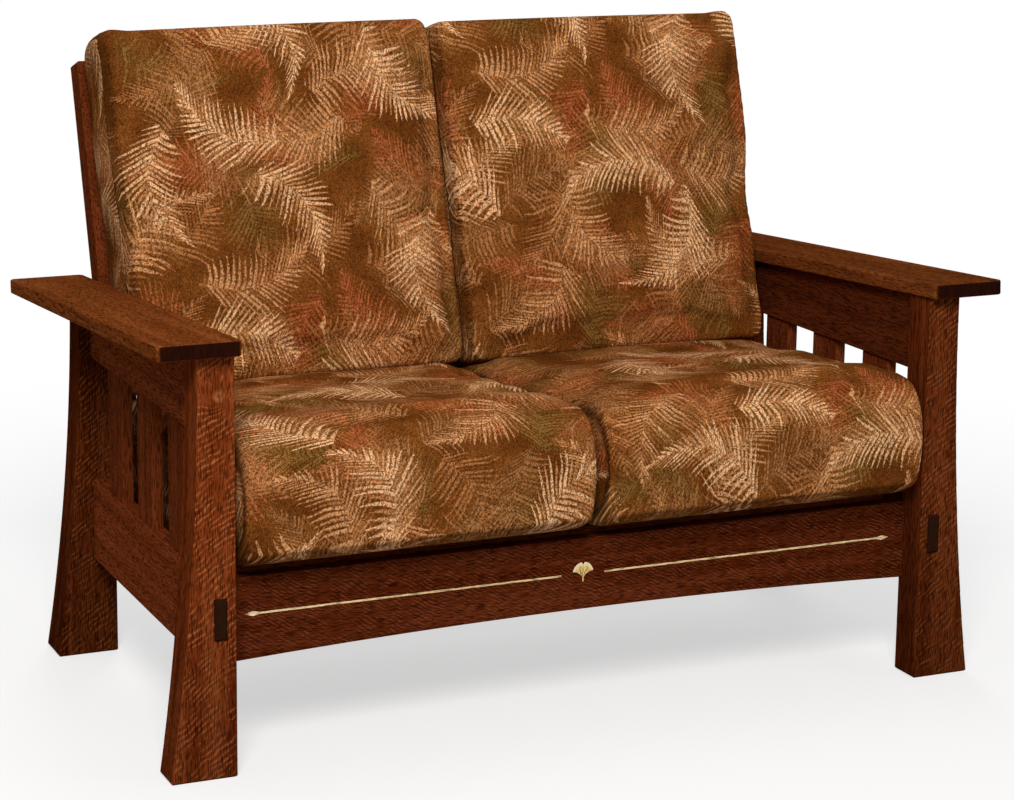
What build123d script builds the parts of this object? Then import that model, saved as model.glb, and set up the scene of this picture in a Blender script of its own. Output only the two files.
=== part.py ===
from build123d import *
from math import atan, cos, pi, radians, sin, sqrt, tan
import os

os.makedirs("parts", exist_ok=True)

# An oak loveseat in the Mission manner: two arm frames with slatted sides, a seat
# frame with a slatted deck, a reclined slatted back and four loose cushions.
# Millimetres. X runs to the right as seen from the front, Y to the back, Z up.
# The origin is on the floor under the middle of the whole piece.

# Sizes of the whole
inside_width = 1163.0
arm_front_height = 660.0

# Arms, which slope down to the back
arm_drop = 54.0
arm_width = 126.5
arm_thick = 23.5
arm_inset = 5.5
arm_front_overhang = 24.0
arm_rear_overhang = 141.0
arm_corner_radius = 10.0
arm_edge_round = 3.0

# Legs, which flare outwards to the floor; the rear pair also kicks back
leg_width = 56.0
leg_depth = 58.0
leg_spacing = 623.0
leg_curve_top = 636.0
foot_spread = 46.0
foot_kick = 17.0
leg_edge_round = 2.0
foot_chamfer = 3.0
top_tenon_side = 26.0
top_tenon_height = 12.0

# Side rails and the slats between them
side_rail_thick = 26.0
side_rail_inset = 11.5
lower_rail_bottom = 163.0
lower_rail_height = 136.0
upper_rail_drop = 154.5
rail_edge_round = 1.5
through_tenon_thick = 19.0
through_tenon_height = 62.0
through_tenon_rise = 50.0
through_tenon_proud = 5.0
through_tenon_bevel = 2.5
rear_tenon_length = 30.0
blind_tenon_length = 20.0
blind_tenon_thick = 12.0
blind_tenon_height = 55.0
blind_tenon_rise = 15.0
side_slat_count = 3
side_slat_width = 77.0
side_slat_thick = 18.0
tongue_length = 10.0
tongue_thick = 9.0
tongue_shoulder = 8.0

# Front rail with its arched lower edge, and the inlay let into its face
front_rail_setback = 48.5
front_rail_thick = 24.0
front_rail_top = 288.5
front_rail_height = 128.5
front_rail_arch = 14.5
inlay_level = 231.0
inlay_thick = 1.5
string_width = 3.0
string_end_margin = 29.0
string_inner_end = 37.0
string_point_length = 21.0
string_point_shoulder = 13.0
string_point_width = 8.0
leaf_half_width = 17.5
leaf_tip_rise = 4.0
leaf_lobe_rise = 14.6
leaf_lobe_reach = 2.6
leaf_notch_rise = 10.4
leaf_bow_reach = 12.8
leaf_bow_rise = 9.6
leaf_hollow_reach = 8.0
leaf_hollow_drop = 2.8
leaf_stem_half_width = 1.6
leaf_stem_top_drop = 8.8
leaf_stem_foot_half_width = 1.0
leaf_stem_foot_drop = 16.7

# Rear rail, deck, cleats, brace and corner blocks
rear_rail_thick = 24.0
rear_rail_top = 262.0
rear_rail_height = 99.0
rear_rail_tenon_length = 12.0
rear_rail_tenon_thick = 12.0
rear_rail_tenon_shoulder = 15.0
deck_slat_count = 9
deck_slat_width = 70.0
deck_slat_thick = 15.0
deck_post_gap = 5.0
deck_slat_end_gap = 1.5
deck_front_proud = 11.0
deck_rear_proud = 6.0
cleat_width = 22.0
cleat_height = 30.0
cleat_lip = 10.0
cleat_end_gap = 24.0
brace_thick = 26.0
brace_height = 60.0
corner_block_side = 60.0
corner_block_height = 44.0
corner_block_lift = 4.0
screw_radius = 2.5
screw_head_radius = 5.0
screw_head_thick = 3.0
screw_grip = 22.0
screw_bite = 14.0
screw_offset = 20.0
screw_stagger = 10.0

# Back frame, leaning back between the arms
recline = radians(17.4)
post_width = 44.0
post_depth = 46.0
post_length = 740.0
post_top_chamfer = 3.0
post_foot_lead = 14.5
back_rail_thick = 22.0
back_rail_setback = 3.0
back_rail_tenon_length = 20.0
back_rail_tenon_thick = 12.0
back_rail_tenon_shoulder = 12.0
back_lower_rail_rise = 60.0
back_lower_rail_height = 80.0
back_upper_rail_height = 90.0
back_upper_rail_drop = 12.0
back_stile_width = 60.0
back_slat_count = 4
back_slat_width = 48.0
back_slat_thick = 12.0
bolt_radius = 4.0
bolt_head_radius = 9.0
bolt_head_thick = 5.0
arm_bolt_bite = 40.0
leg_bolt_bite = 35.0
leg_bolt_height = 300.0
spacer_radius = 12.0

# Cushions
cushion_side_gap = 2.5
cushion_parting = 1.2
seat_front_reach = 20.0
seat_height_front = 206.0
seat_height_rear = 178.0
seat_crown = 11.0
seat_end_crown_share = 0.5
seat_belly_share = 0.043
seat_edge_radius = 16.0
seat_front_top_run = 72.0
seat_front_top_fall = 84.0
seat_front_low_run = 110.0
seat_front_low_rise = 52.0
seat_front_plan_roll = 30.0
seat_rear_top_run = 165.0
seat_rear_top_fall = 72.0
seat_rear_low_roll = 12.0
seat_rear_plan_roll = 16.0
back_cushion_thick = 182.0
back_cushion_crown = 18.0
back_end_crown_share = 0.4
back_cushion_belly_share = 0.05
back_cushion_front_edge_radius = 14.0
back_cushion_rear_edge_radius = 36.0
back_cushion_foot = 173.0
back_cushion_height = 586.0
back_cushion_top_front_roll = 46.0
back_cushion_top_rear_roll = 40.0
back_cushion_low_front_roll = 30.0
back_cushion_low_rear_roll = 34.0
back_cushion_plan_roll = 22.0
back_cushion_arm_gap = 2.0
back_cushion_overhang = 6.0
back_cushion_spread_run = 160.0
cushion_slices = 11

# Clearances, and how far a cutter passes the face that it cuts
fit_clearance = 0.2
lay_clearance = 0.6
overrun = 5.0

# Places worked out from the sizes
arm_run = arm_front_overhang + leg_spacing + leg_depth + arm_rear_overhang
arm_slope = atan(arm_drop / arm_run)
post_reach = (post_length - post_top_chamfer) * sin(recline) + post_depth * cos(recline)
overall_depth = arm_front_overhang + leg_spacing - post_foot_lead + post_reach
arm_front_y = -overall_depth / 2
leg_front_y = arm_front_y + arm_front_overhang
leg_rear_y = leg_front_y + leg_depth
rear_leg_front_y = leg_front_y + leg_spacing
leg_in = inside_width / 2
leg_out = leg_in + leg_width
arm_in = leg_in - arm_inset
side_rail_in = leg_in + side_rail_inset
side_rail_mid = side_rail_in + side_rail_thick / 2
lower_rail_top = lower_rail_bottom + lower_rail_height
upper_rail_bottom = arm_front_height - upper_rail_drop
side_rail_length = rear_leg_front_y - leg_rear_y
front_rail_y = leg_front_y + front_rail_setback
front_rail_rear_y = front_rail_y + front_rail_thick
front_rail_bottom = front_rail_top - front_rail_height
deck_run = rear_leg_front_y - front_rail_rear_y
deck_front_z = front_rail_top + deck_front_proud
deck_slope = atan((deck_front_z - rear_rail_top - deck_rear_proud) / deck_run)
back_foot_y = rear_leg_front_y - post_foot_lead
string_tip_reach = leg_in - string_end_margin
post_out = arm_in
post_in = post_out - post_width
deck_half_width = post_in - deck_post_gap


def arm_under(y):
    """Height of the underside of the arm at the place y."""
    return arm_front_height - arm_thick / cos(arm_slope) - (y - arm_front_y) * tan(arm_slope)


def deck_top(y):
    """Height of the top of the deck slats at the place y."""
    return deck_front_z - (y - front_rail_rear_y) * tan(deck_slope)


def roll(distance, run, fall):
    """How far a rounded edge has fallen away at a distance from the end of the form."""
    if distance >= run:
        return 0.0
    return fall * (1 - sqrt(1 - ((run - distance) / run) ** 2))


under_plane = Plane(
    origin=(0, arm_front_y, arm_under(arm_front_y)),
    x_dir=(1, 0, 0),
    z_dir=(0, sin(arm_slope), cos(arm_slope)),
)
deck_plane = Plane(
    origin=(0, front_rail_rear_y, deck_front_z),
    x_dir=(1, 0, 0),
    z_dir=(0, sin(deck_slope), cos(deck_slope)),
)
back_plane = Plane(
    origin=(0, back_foot_y, rear_rail_top),
    x_dir=(1, 0, 0),
    z_dir=(0, -cos(recline), sin(recline)),
)
rail_face = Plane(origin=(0, front_rail_y, 0), x_dir=(1, 0, 0), z_dir=(0, -1, 0))


def save(piece, name):
    """Name a finished piece and write it out."""
    piece.part.label = name
    export_step(piece.part, f"parts/{name}.step")


def save_pair(piece, name):
    """Write the right-hand piece and its mirror image for the left-hand side."""
    save(piece, f"{name}_right")
    with BuildPart() as twin:
        mirror(piece.part, about=Plane.YZ)
    save(twin, f"{name}_left")


# Places that more than one piece is cut or shaped to
leg_mid = leg_in + leg_width / 2
front_tenon_along = (leg_front_y + leg_depth / 2 - arm_front_y) / cos(arm_slope)
rear_tenon_along = (rear_leg_front_y + leg_depth / 2 - arm_front_y) / cos(arm_slope)
through_tenon_mid = lower_rail_bottom + through_tenon_rise + through_tenon_height / 2
blind_tenon_mid = upper_rail_bottom + blind_tenon_rise + blind_tenon_height / 2
side_slat_gap = (side_rail_length - side_slat_count * side_slat_width) / (side_slat_count + 1)
side_slat_places = [
    leg_rear_y + side_slat_gap * (i + 1) + side_slat_width * (i + 0.5) for i in range(side_slat_count)
]
rear_rail_tenon_height = rear_rail_height - 2 * rear_rail_tenon_shoulder
rear_rail_mid = rear_rail_top - rear_rail_height / 2
rear_rail_mid_y = rear_leg_front_y + rear_rail_thick / 2
post_mid_foot_y = back_foot_y + post_depth / (2 * cos(recline))
leg_bolt_y = post_mid_foot_y + (leg_bolt_height - rear_rail_top) * tan(recline)
arm_mid_front = arm_front_height - arm_thick / (2 * cos(arm_slope))
arm_bolt_y = (
    post_mid_foot_y + (arm_mid_front + arm_front_y * tan(arm_slope) - rear_rail_top) * tan(recline)
) / (1 + tan(arm_slope) * tan(recline))
arm_bolt_z = arm_mid_front - (arm_bolt_y - arm_front_y) * tan(arm_slope)


def leg_face_outline(top):
    """The leg seen from the front: a straight inner edge and a long hollow curve outside."""
    curve = (leg_curve_top**2 + foot_spread**2) / (2 * foot_spread)
    half_way = leg_curve_top / 2
    bow = curve - sqrt(curve**2 - (leg_curve_top - half_way) ** 2)
    with BuildSketch() as outline:
        with BuildLine():
            Line((leg_in, top), (leg_in, 0))
            Line((leg_in, 0), (leg_out + foot_spread, 0))
            ThreePointArc(
                (leg_out + foot_spread, 0), (leg_out + bow, half_way), (leg_out, leg_curve_top)
            )
            Line((leg_out, leg_curve_top), (leg_out, top))
            Line((leg_out, top), (leg_in, top))
        make_face()
    return outline.sketch


# Front leg: quartersawn oak, tenoned up into the arm, with a mortise right through it
with BuildPart() as front_leg:
    with BuildSketch(Plane.XZ.offset(-leg_front_y)):
        add(leg_face_outline(arm_front_height))
    extrude(amount=-leg_depth)
    split(bisect_by=under_plane, keep=Keep.BOTTOM)
    chamfer(front_leg.faces().sort_by(Axis.Z)[0].edges(), length=foot_chamfer)
    long_edges = front_leg.edges().filter_by(lambda e: e.length > leg_curve_top / 3)
    fillet(long_edges, radius=leg_edge_round)
    with BuildSketch(under_plane):
        with Locations((leg_mid, front_tenon_along)):
            Rectangle(top_tenon_side, top_tenon_side)
    extrude(amount=top_tenon_height)
    with BuildSketch(Plane.XZ.offset(-leg_front_y)):
        with Locations((side_rail_mid, through_tenon_mid)):
            Rectangle(
                through_tenon_thick + 2 * fit_clearance, through_tenon_height + 2 * fit_clearance
            )
    extrude(amount=-leg_depth, mode=Mode.SUBTRACT)
    with BuildSketch(Plane.XZ.offset(-leg_rear_y)):
        with Locations((side_rail_mid, blind_tenon_mid)):
            Rectangle(blind_tenon_thick + 2 * fit_clearance, blind_tenon_height + 2 * fit_clearance)
    extrude(amount=blind_tenon_length + fit_clearance, mode=Mode.SUBTRACT)
save_pair(front_leg, "front_leg")

# Rear leg: the same face, with the rear side kicked back by the same kind of curve
with BuildPart() as rear_leg:
    with BuildSketch(Plane.XZ.offset(-rear_leg_front_y)):
        add(leg_face_outline(arm_front_height))
    extrude(amount=-(leg_depth + foot_kick))
    kick_curve = (leg_curve_top**2 + foot_kick**2) / (2 * foot_kick)
    kick_bow = kick_curve - sqrt(kick_curve**2 - (leg_curve_top / 2) ** 2)
    rear_face_y = rear_leg_front_y + leg_depth
    with BuildSketch(Plane.YZ):
        with BuildLine():
            Line((rear_leg_front_y, arm_front_height), (rear_leg_front_y, 0))
            Line((rear_leg_front_y, 0), (rear_face_y + foot_kick, 0))
            ThreePointArc(
                (rear_face_y + foot_kick, 0),
                (rear_face_y + kick_bow, leg_curve_top / 2),
                (rear_face_y, leg_curve_top),
            )
            Line((rear_face_y, leg_curve_top), (rear_face_y, arm_front_height))
            Line((rear_face_y, arm_front_height), (rear_leg_front_y, arm_front_height))
        make_face()
    extrude(amount=leg_out + foot_spread + overrun, mode=Mode.INTERSECT)
    split(bisect_by=under_plane, keep=Keep.BOTTOM)
    chamfer(rear_leg.faces().sort_by(Axis.Z)[0].edges(), length=foot_chamfer)
    long_edges = rear_leg.edges().filter_by(lambda e: e.length > leg_curve_top / 3)
    fillet(long_edges, radius=leg_edge_round)
    with BuildSketch(under_plane):
        with Locations((leg_mid, rear_tenon_along)):
            Rectangle(top_tenon_side, top_tenon_side)
    extrude(amount=top_tenon_height)
    with BuildSketch(Plane.XZ.offset(-rear_leg_front_y)):
        with Locations((side_rail_mid, through_tenon_mid)):
            Rectangle(
                through_tenon_thick + 2 * fit_clearance, through_tenon_height + 2 * fit_clearance
            )
    extrude(amount=-(rear_tenon_length + fit_clearance), mode=Mode.SUBTRACT)
    with BuildSketch(Plane.XZ.offset(-rear_leg_front_y)):
        with Locations((side_rail_mid, blind_tenon_mid)):
            Rectangle(blind_tenon_thick + 2 * fit_clearance, blind_tenon_height + 2 * fit_clearance)
    extrude(amount=-(blind_tenon_length + fit_clearance), mode=Mode.SUBTRACT)
    with BuildSketch(Plane.YZ.offset(leg_in)):
        with Locations((rear_rail_mid_y, rear_rail_mid)):
            Rectangle(
                rear_rail_tenon_thick + 2 * fit_clearance, rear_rail_tenon_height + 2 * fit_clearance
            )
    extrude(amount=rear_rail_tenon_length + fit_clearance, mode=Mode.SUBTRACT)
    with BuildSketch(Plane.YZ.offset(leg_in)):
        with Locations((leg_bolt_y, leg_bolt_height)):
            Circle(bolt_radius + fit_clearance)
    extrude(amount=leg_bolt_bite + fit_clearance, mode=Mode.SUBTRACT)
save_pair(rear_leg, "rear_leg")

# Arm: a wide sloping board with rounded corners and eased edges, mortised over both legs
arm_length = arm_run / cos(arm_slope)
with BuildPart() as arm:
    with BuildSketch(under_plane):
        with Locations((arm_in + arm_width / 2, arm_length / 2)):
            RectangleRounded(arm_width, arm_length, arm_corner_radius)
    extrude(amount=arm_thick)
    fillet(arm.faces().filter_by(under_plane).edges(), radius=arm_edge_round)
    with BuildSketch(under_plane):
        with Locations((leg_mid, front_tenon_along), (leg_mid, rear_tenon_along)):
            Rectangle(top_tenon_side + 2 * fit_clearance, top_tenon_side + 2 * fit_clearance)
    extrude(amount=top_tenon_height + fit_clearance, mode=Mode.SUBTRACT)
    with BuildSketch(Plane.YZ.offset(arm_in)):
        with Locations((arm_bolt_y, arm_bolt_z)):
            Circle(bolt_radius + fit_clearance)
    extrude(amount=arm_bolt_bite + fit_clearance, mode=Mode.SUBTRACT)
save_pair(arm, "arm")

# Lower side rail: its front tenon passes through the leg and stands proud, bevelled
screw_place_rear = rear_leg_front_y - screw_offset
screw_place_front = front_rail_rear_y + screw_offset
block_bottom = lower_rail_bottom + corner_block_lift
block_mid = block_bottom + corner_block_height / 2
with BuildPart() as lower_side_rail:
    with BuildSketch(Plane.XZ.offset(-leg_rear_y)):
        with Locations((side_rail_mid, lower_rail_bottom + lower_rail_height / 2)):
            Rectangle(side_rail_thick, lower_rail_height)
    extrude(amount=-side_rail_length)
    fillet(lower_side_rail.edges().filter_by(Axis.Y), radius=rail_edge_round)
    with BuildSketch(Plane.XZ.offset(-leg_rear_y)):
        with Locations((side_rail_mid, through_tenon_mid)):
            Rectangle(through_tenon_thick, through_tenon_height)
    extrude(amount=leg_depth + through_tenon_proud)
    chamfer(lower_side_rail.faces().sort_by(Axis.Y)[0].edges(), length=through_tenon_bevel)
    with BuildSketch(Plane.XZ.offset(-rear_leg_front_y)):
        with Locations((side_rail_mid, through_tenon_mid)):
            Rectangle(through_tenon_thick, through_tenon_height)
    extrude(amount=-rear_tenon_length)
    with BuildSketch(Plane.XY.offset(lower_rail_top)):
        with Locations(*[(side_rail_mid, y) for y in side_slat_places]):
            Rectangle(
                tongue_thick + 2 * fit_clearance,
                side_slat_width - 2 * tongue_shoulder + 2 * fit_clearance,
            )
    extrude(amount=-(tongue_length + fit_clearance), mode=Mode.SUBTRACT)
    with BuildSketch(Plane.YZ.offset(side_rail_in)):
        with Locations(
            (screw_place_front, block_mid - screw_stagger), (screw_place_rear, block_mid - screw_stagger)
        ):
            Circle(screw_radius + fit_clearance)
    extrude(amount=screw_bite + fit_clearance, mode=Mode.SUBTRACT)
save_pair(lower_side_rail, "lower_side_rail")

# Upper side rail: level below, cut to the slope of the arm above
with BuildPart() as upper_side_rail:
    with BuildSketch(Plane.XZ.offset(-leg_rear_y)):
        with Locations((side_rail_mid, (upper_rail_bottom + arm_front_height) / 2)):
            Rectangle(side_rail_thick, arm_front_height - upper_rail_bottom)
    extrude(amount=-side_rail_length)
    split(bisect_by=under_plane, keep=Keep.BOTTOM)
    fillet(
        upper_side_rail.faces().sort_by(Axis.Z)[0].edges().filter_by(Axis.Y), radius=rail_edge_round
    )
    with BuildSketch(Plane.XZ.offset(-(leg_rear_y - blind_tenon_length))):
        with Locations((side_rail_mid, blind_tenon_mid)):
            Rectangle(blind_tenon_thick, blind_tenon_height)
    extrude(amount=-(side_rail_length + 2 * blind_tenon_length))
    with BuildSketch(Plane.XY.offset(upper_rail_bottom)):
        with Locations(*[(side_rail_mid, y) for y in side_slat_places]):
            Rectangle(
                tongue_thick + 2 * fit_clearance,
                side_slat_width - 2 * tongue_shoulder + 2 * fit_clearance,
            )
    extrude(amount=tongue_length + fit_clearance, mode=Mode.SUBTRACT)
save_pair(upper_side_rail, "upper_side_rail")

# Side slats, housed in both rails by tongues
slat_height = upper_rail_bottom - lower_rail_top
for number, place in enumerate(side_slat_places, start=1):
    with BuildPart() as side_slat:
        with BuildSketch(Plane.XY.offset(lower_rail_top)):
            with Locations((side_rail_mid, place)):
                Rectangle(side_slat_thick, side_slat_width)
        extrude(amount=slat_height)
        fillet(side_slat.edges().filter_by(Axis.Z), radius=rail_edge_round)
        with BuildSketch(Plane.XY.offset(lower_rail_top - tongue_length)):
            with Locations((side_rail_mid, place)):
                Rectangle(tongue_thick, side_slat_width - 2 * tongue_shoulder)
        extrude(amount=slat_height + 2 * tongue_length)
    save_pair(side_slat, f"side_slat_{number}")


def string_outline():
    """A line of stringing with a spear point at its outer end, for the right-hand half."""
    neck = string_tip_reach - string_point_length
    shoulder = string_tip_reach - string_point_shoulder
    with BuildSketch() as outline:
        Polygon(
            (string_inner_end, inlay_level - string_width / 2),
            (neck, inlay_level - string_width / 2),
            (shoulder, inlay_level - string_point_width / 2),
            (string_tip_reach, inlay_level),
            (shoulder, inlay_level + string_point_width / 2),
            (neck, inlay_level + string_width / 2),
            (string_inner_end, inlay_level + string_width / 2),
            align=None,
        )
    return outline.sketch


def leaf_outline():
    """A plain fan-shaped leaf with a notch in its rim and a short stem."""
    tips = inlay_level + leaf_tip_rise
    foot = tips - leaf_stem_foot_drop
    with BuildSketch() as outline:
        with BuildLine():
            for side in (1, -1):
                Line((0, tips + leaf_notch_rise), (side * leaf_lobe_reach, tips + leaf_lobe_rise))
                ThreePointArc(
                    (side * leaf_lobe_reach, tips + leaf_lobe_rise),
                    (side * leaf_bow_reach, tips + leaf_bow_rise),
                    (side * leaf_half_width, tips),
                )
                ThreePointArc(
                    (side * leaf_half_width, tips),
                    (side * leaf_hollow_reach, tips - leaf_hollow_drop),
                    (side * leaf_stem_half_width, tips - leaf_stem_top_drop),
                )
                Line(
                    (side * leaf_stem_half_width, tips - leaf_stem_top_drop),
                    (side * leaf_stem_foot_half_width, foot),
                )
            Line((leaf_stem_foot_half_width, foot), (-leaf_stem_foot_half_width, foot))
        make_face()
    return outline.sketch


# Front rail: arched below, rabbeted at its ends to lap behind the legs, pocketed for the inlay
with BuildPart() as front_rail:
    with BuildSketch(rail_face):
        with BuildLine():
            Line((-side_rail_in, front_rail_top), (-side_rail_in, front_rail_bottom))
            Line((-side_rail_in, front_rail_bottom), (-leg_in, front_rail_bottom))
            ThreePointArc(
                (-leg_in, front_rail_bottom),
                (0, front_rail_bottom + front_rail_arch),
                (leg_in, front_rail_bottom),
            )
            Line((leg_in, front_rail_bottom), (side_rail_in, front_rail_bottom))
            Line((side_rail_in, front_rail_bottom), (side_rail_in, front_rail_top))
            Line((side_rail_in, front_rail_top), (-side_rail_in, front_rail_top))
        make_face()
    extrude(amount=-front_rail_thick)
    top_edges = front_rail.faces().sort_by(Axis.Z)[-1].edges().filter_by(Axis.X)
    fillet(top_edges, radius=rail_edge_round)
    rabbet_mid = leg_in + (side_rail_inset + overrun) / 2
    with BuildSketch(rail_face.offset(overrun)):
        with Locations(
            (rabbet_mid, front_rail_top - front_rail_height / 2),
            (-rabbet_mid, front_rail_top - front_rail_height / 2),
        ):
            Rectangle(side_rail_inset + overrun, front_rail_height + 2 * overrun)
    extrude(amount=-(leg_depth - front_rail_setback + overrun), mode=Mode.SUBTRACT)
    with BuildSketch(rail_face):
        add(string_outline())
        mirror(string_outline(), about=Plane.YZ)
        add(leaf_outline())
    extrude(amount=-inlay_thick, mode=Mode.SUBTRACT)
    with BuildSketch(Plane.XZ.offset(-front_rail_rear_y)):
        with Locations(
            (side_rail_in - screw_offset, block_mid + screw_stagger),
            (screw_offset - side_rail_in, block_mid + screw_stagger),
        ):
            Circle(screw_radius + fit_clearance)
    extrude(amount=screw_bite + fit_clearance, mode=Mode.SUBTRACT)
save(front_rail, "front_rail")

with BuildPart() as stringing:
    with BuildSketch(rail_face):
        add(string_outline())
    extrude(amount=-inlay_thick)
save_pair(stringing, "stringing")

with BuildPart() as leaf_inlay:
    with BuildSketch(rail_face):
        add(leaf_outline())
    extrude(amount=-inlay_thick)
save(leaf_inlay, "leaf_inlay")

# Rear rail: tenoned into the rear legs; the back posts stand on its top edge
with BuildPart() as rear_rail:
    with BuildSketch(Plane.YZ.offset(-leg_in)):
        with Locations((rear_rail_mid_y, rear_rail_mid)):
            Rectangle(rear_rail_thick, rear_rail_height)
    extrude(amount=inside_width)
    fillet(rear_rail.edges().filter_by(Axis.X), radius=rail_edge_round)
    with BuildSketch(Plane.YZ.offset(-leg_in - rear_rail_tenon_length)):
        with Locations((rear_rail_mid_y, rear_rail_mid)):
            Rectangle(rear_rail_tenon_thick, rear_rail_tenon_height)
    extrude(amount=inside_width + 2 * rear_rail_tenon_length)
    with BuildSketch(Plane.XZ.offset(-rear_leg_front_y)):
        with Locations(
            (side_rail_in - screw_offset, block_mid + screw_stagger),
            (screw_offset - side_rail_in, block_mid + screw_stagger),
        ):
            Circle(screw_radius + fit_clearance)
    extrude(amount=-(screw_bite + fit_clearance), mode=Mode.SUBTRACT)
save(rear_rail, "rear_rail")

# Front cleat: screwed behind the front rail, with a lip that stands ahead of the slats
slat_under_drop = deck_slat_thick / cos(deck_slope)
cleat_half_length = leg_in - cleat_end_gap
lip_y = front_rail_rear_y + cleat_lip
cleat_rear_y = front_rail_rear_y + cleat_width
with BuildPart() as front_cleat:
    with BuildSketch(Plane.YZ.offset(-cleat_half_length)):
        Polygon(
            (front_rail_rear_y, deck_front_z - slat_under_drop - cleat_height),
            (cleat_rear_y, deck_front_z - slat_under_drop - cleat_height),
            (cleat_rear_y, deck_top(cleat_rear_y) - slat_under_drop),
            (lip_y, deck_top(lip_y) - slat_under_drop),
            (lip_y, deck_top(lip_y)),
            (front_rail_rear_y, deck_front_z),
            align=None,
        )
    extrude(amount=2 * cleat_half_length)
save(front_cleat, "front_cleat")

# Rear cleat: on the front face of the rear rail, bevelled to the slope of the deck
cleat_front_y = rear_leg_front_y - cleat_width
rear_cleat_bottom = deck_top(rear_leg_front_y) - slat_under_drop - cleat_height
with BuildPart() as rear_cleat:
    with BuildSketch(Plane.YZ.offset(-cleat_half_length)):
        Polygon(
            (cleat_front_y, rear_cleat_bottom),
            (rear_leg_front_y, rear_cleat_bottom),
            (rear_leg_front_y, deck_top(rear_leg_front_y) - slat_under_drop),
            (cleat_front_y, deck_top(cleat_front_y) - slat_under_drop),
            align=None,
        )
    extrude(amount=2 * cleat_half_length)
save(rear_cleat, "rear_cleat")

# Brace under the middle of the deck, between the cleats
brace_front = cleat_rear_y
brace_rear = cleat_front_y
with BuildPart() as center_brace:
    with BuildSketch(Plane.YZ.offset(-brace_thick / 2)):
        Polygon(
            (brace_front, deck_top(brace_front) - slat_under_drop - brace_height),
            (brace_rear, deck_top(brace_rear) - slat_under_drop - brace_height),
            (brace_rear, deck_top(brace_rear) - slat_under_drop),
            (brace_front, deck_top(brace_front) - slat_under_drop),
            align=None,
        )
    extrude(amount=brace_thick)
save(center_brace, "center_brace")

# Deck slats, which carry the seat cushions
deck_slat_length = (deck_run - cleat_lip) / cos(deck_slope) - 2 * deck_slat_end_gap
deck_slat_start = cleat_lip / cos(deck_slope) + deck_slat_end_gap
deck_pitch = (2 * deck_half_width - deck_slat_width) / (deck_slat_count - 1)
for number in range(deck_slat_count):
    slat_x = -deck_half_width + deck_slat_width / 2 + number * deck_pitch
    with BuildPart() as deck_slat:
        with BuildSketch(deck_plane):
            with Locations((slat_x, deck_slat_start + deck_slat_length / 2)):
                Rectangle(deck_slat_width, deck_slat_length)
        extrude(amount=-deck_slat_thick)
        long_edges = deck_slat.edges().filter_by(lambda e: e.length > deck_slat_length / 2)
        fillet(long_edges, radius=rail_edge_round)
    save(deck_slat, f"deck_slat_{number + 1}")

# Corner blocks, screwed to the side rails and to the front or rear rail
for name, corner_y, inward in (
    ("front_corner_block", front_rail_rear_y, 1),
    ("rear_corner_block", rear_leg_front_y, -1),
):
    with BuildPart() as block:
        with BuildSketch(Plane.XY.offset(block_bottom)):
            Polygon(
                (side_rail_in, corner_y),
                (side_rail_in - corner_block_side, corner_y),
                (side_rail_in, corner_y + inward * corner_block_side),
                align=None,
            )
        extrude(amount=corner_block_height)
        with BuildSketch(Plane.XZ.offset(-corner_y)):
            with Locations((side_rail_in - screw_offset, block_mid + screw_stagger)):
                Circle(screw_radius + fit_clearance)
        extrude(amount=-inward * corner_block_side, mode=Mode.SUBTRACT)
        with BuildSketch(Plane.XZ.offset(-(corner_y + inward * screw_grip))):
            with Locations((side_rail_in - screw_offset, block_mid + screw_stagger)):
                Circle(screw_head_radius + fit_clearance)
        extrude(amount=-inward * corner_block_side, mode=Mode.SUBTRACT)
        with BuildSketch(Plane.YZ.offset(side_rail_in)):
            with Locations((corner_y + inward * screw_offset, block_mid - screw_stagger)):
                Circle(screw_radius + fit_clearance)
        extrude(amount=-corner_block_side, mode=Mode.SUBTRACT)
        with BuildSketch(Plane.YZ.offset(side_rail_in - screw_grip)):
            with Locations((corner_y + inward * screw_offset, block_mid - screw_stagger)):
                Circle(screw_head_radius + fit_clearance)
        extrude(amount=-corner_block_side, mode=Mode.SUBTRACT)
    save_pair(block, name)

# Screws of the corner blocks, one into each rail
with BuildPart() as right_screws:
    for corner_y, inward in ((front_rail_rear_y, 1), (rear_leg_front_y, -1)):
        with BuildSketch(Plane.XZ.offset(-(corner_y - inward * screw_bite))):
            with Locations((side_rail_in - screw_offset, block_mid + screw_stagger)):
                Circle(screw_radius)
        extrude(amount=-inward * (screw_bite + screw_grip))
        with BuildSketch(Plane.XZ.offset(-(corner_y + inward * screw_grip))):
            with Locations((side_rail_in - screw_offset, block_mid + screw_stagger)):
                Circle(screw_head_radius)
        extrude(amount=-inward * screw_head_thick)
        with BuildSketch(Plane.YZ.offset(side_rail_in + screw_bite)):
            with Locations((corner_y + inward * screw_offset, block_mid - screw_stagger)):
                Circle(screw_radius)
        extrude(amount=-(screw_bite + screw_grip))
        with BuildSketch(Plane.YZ.offset(side_rail_in - screw_grip)):
            with Locations((corner_y + inward * screw_offset, block_mid - screw_stagger)):
                Circle(screw_head_radius)
        extrude(amount=-screw_head_thick)
with BuildPart() as corner_screws:
    add(right_screws.part)
    mirror(right_screws.part, about=Plane.YZ)
save(corner_screws, "corner_screws")

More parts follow.
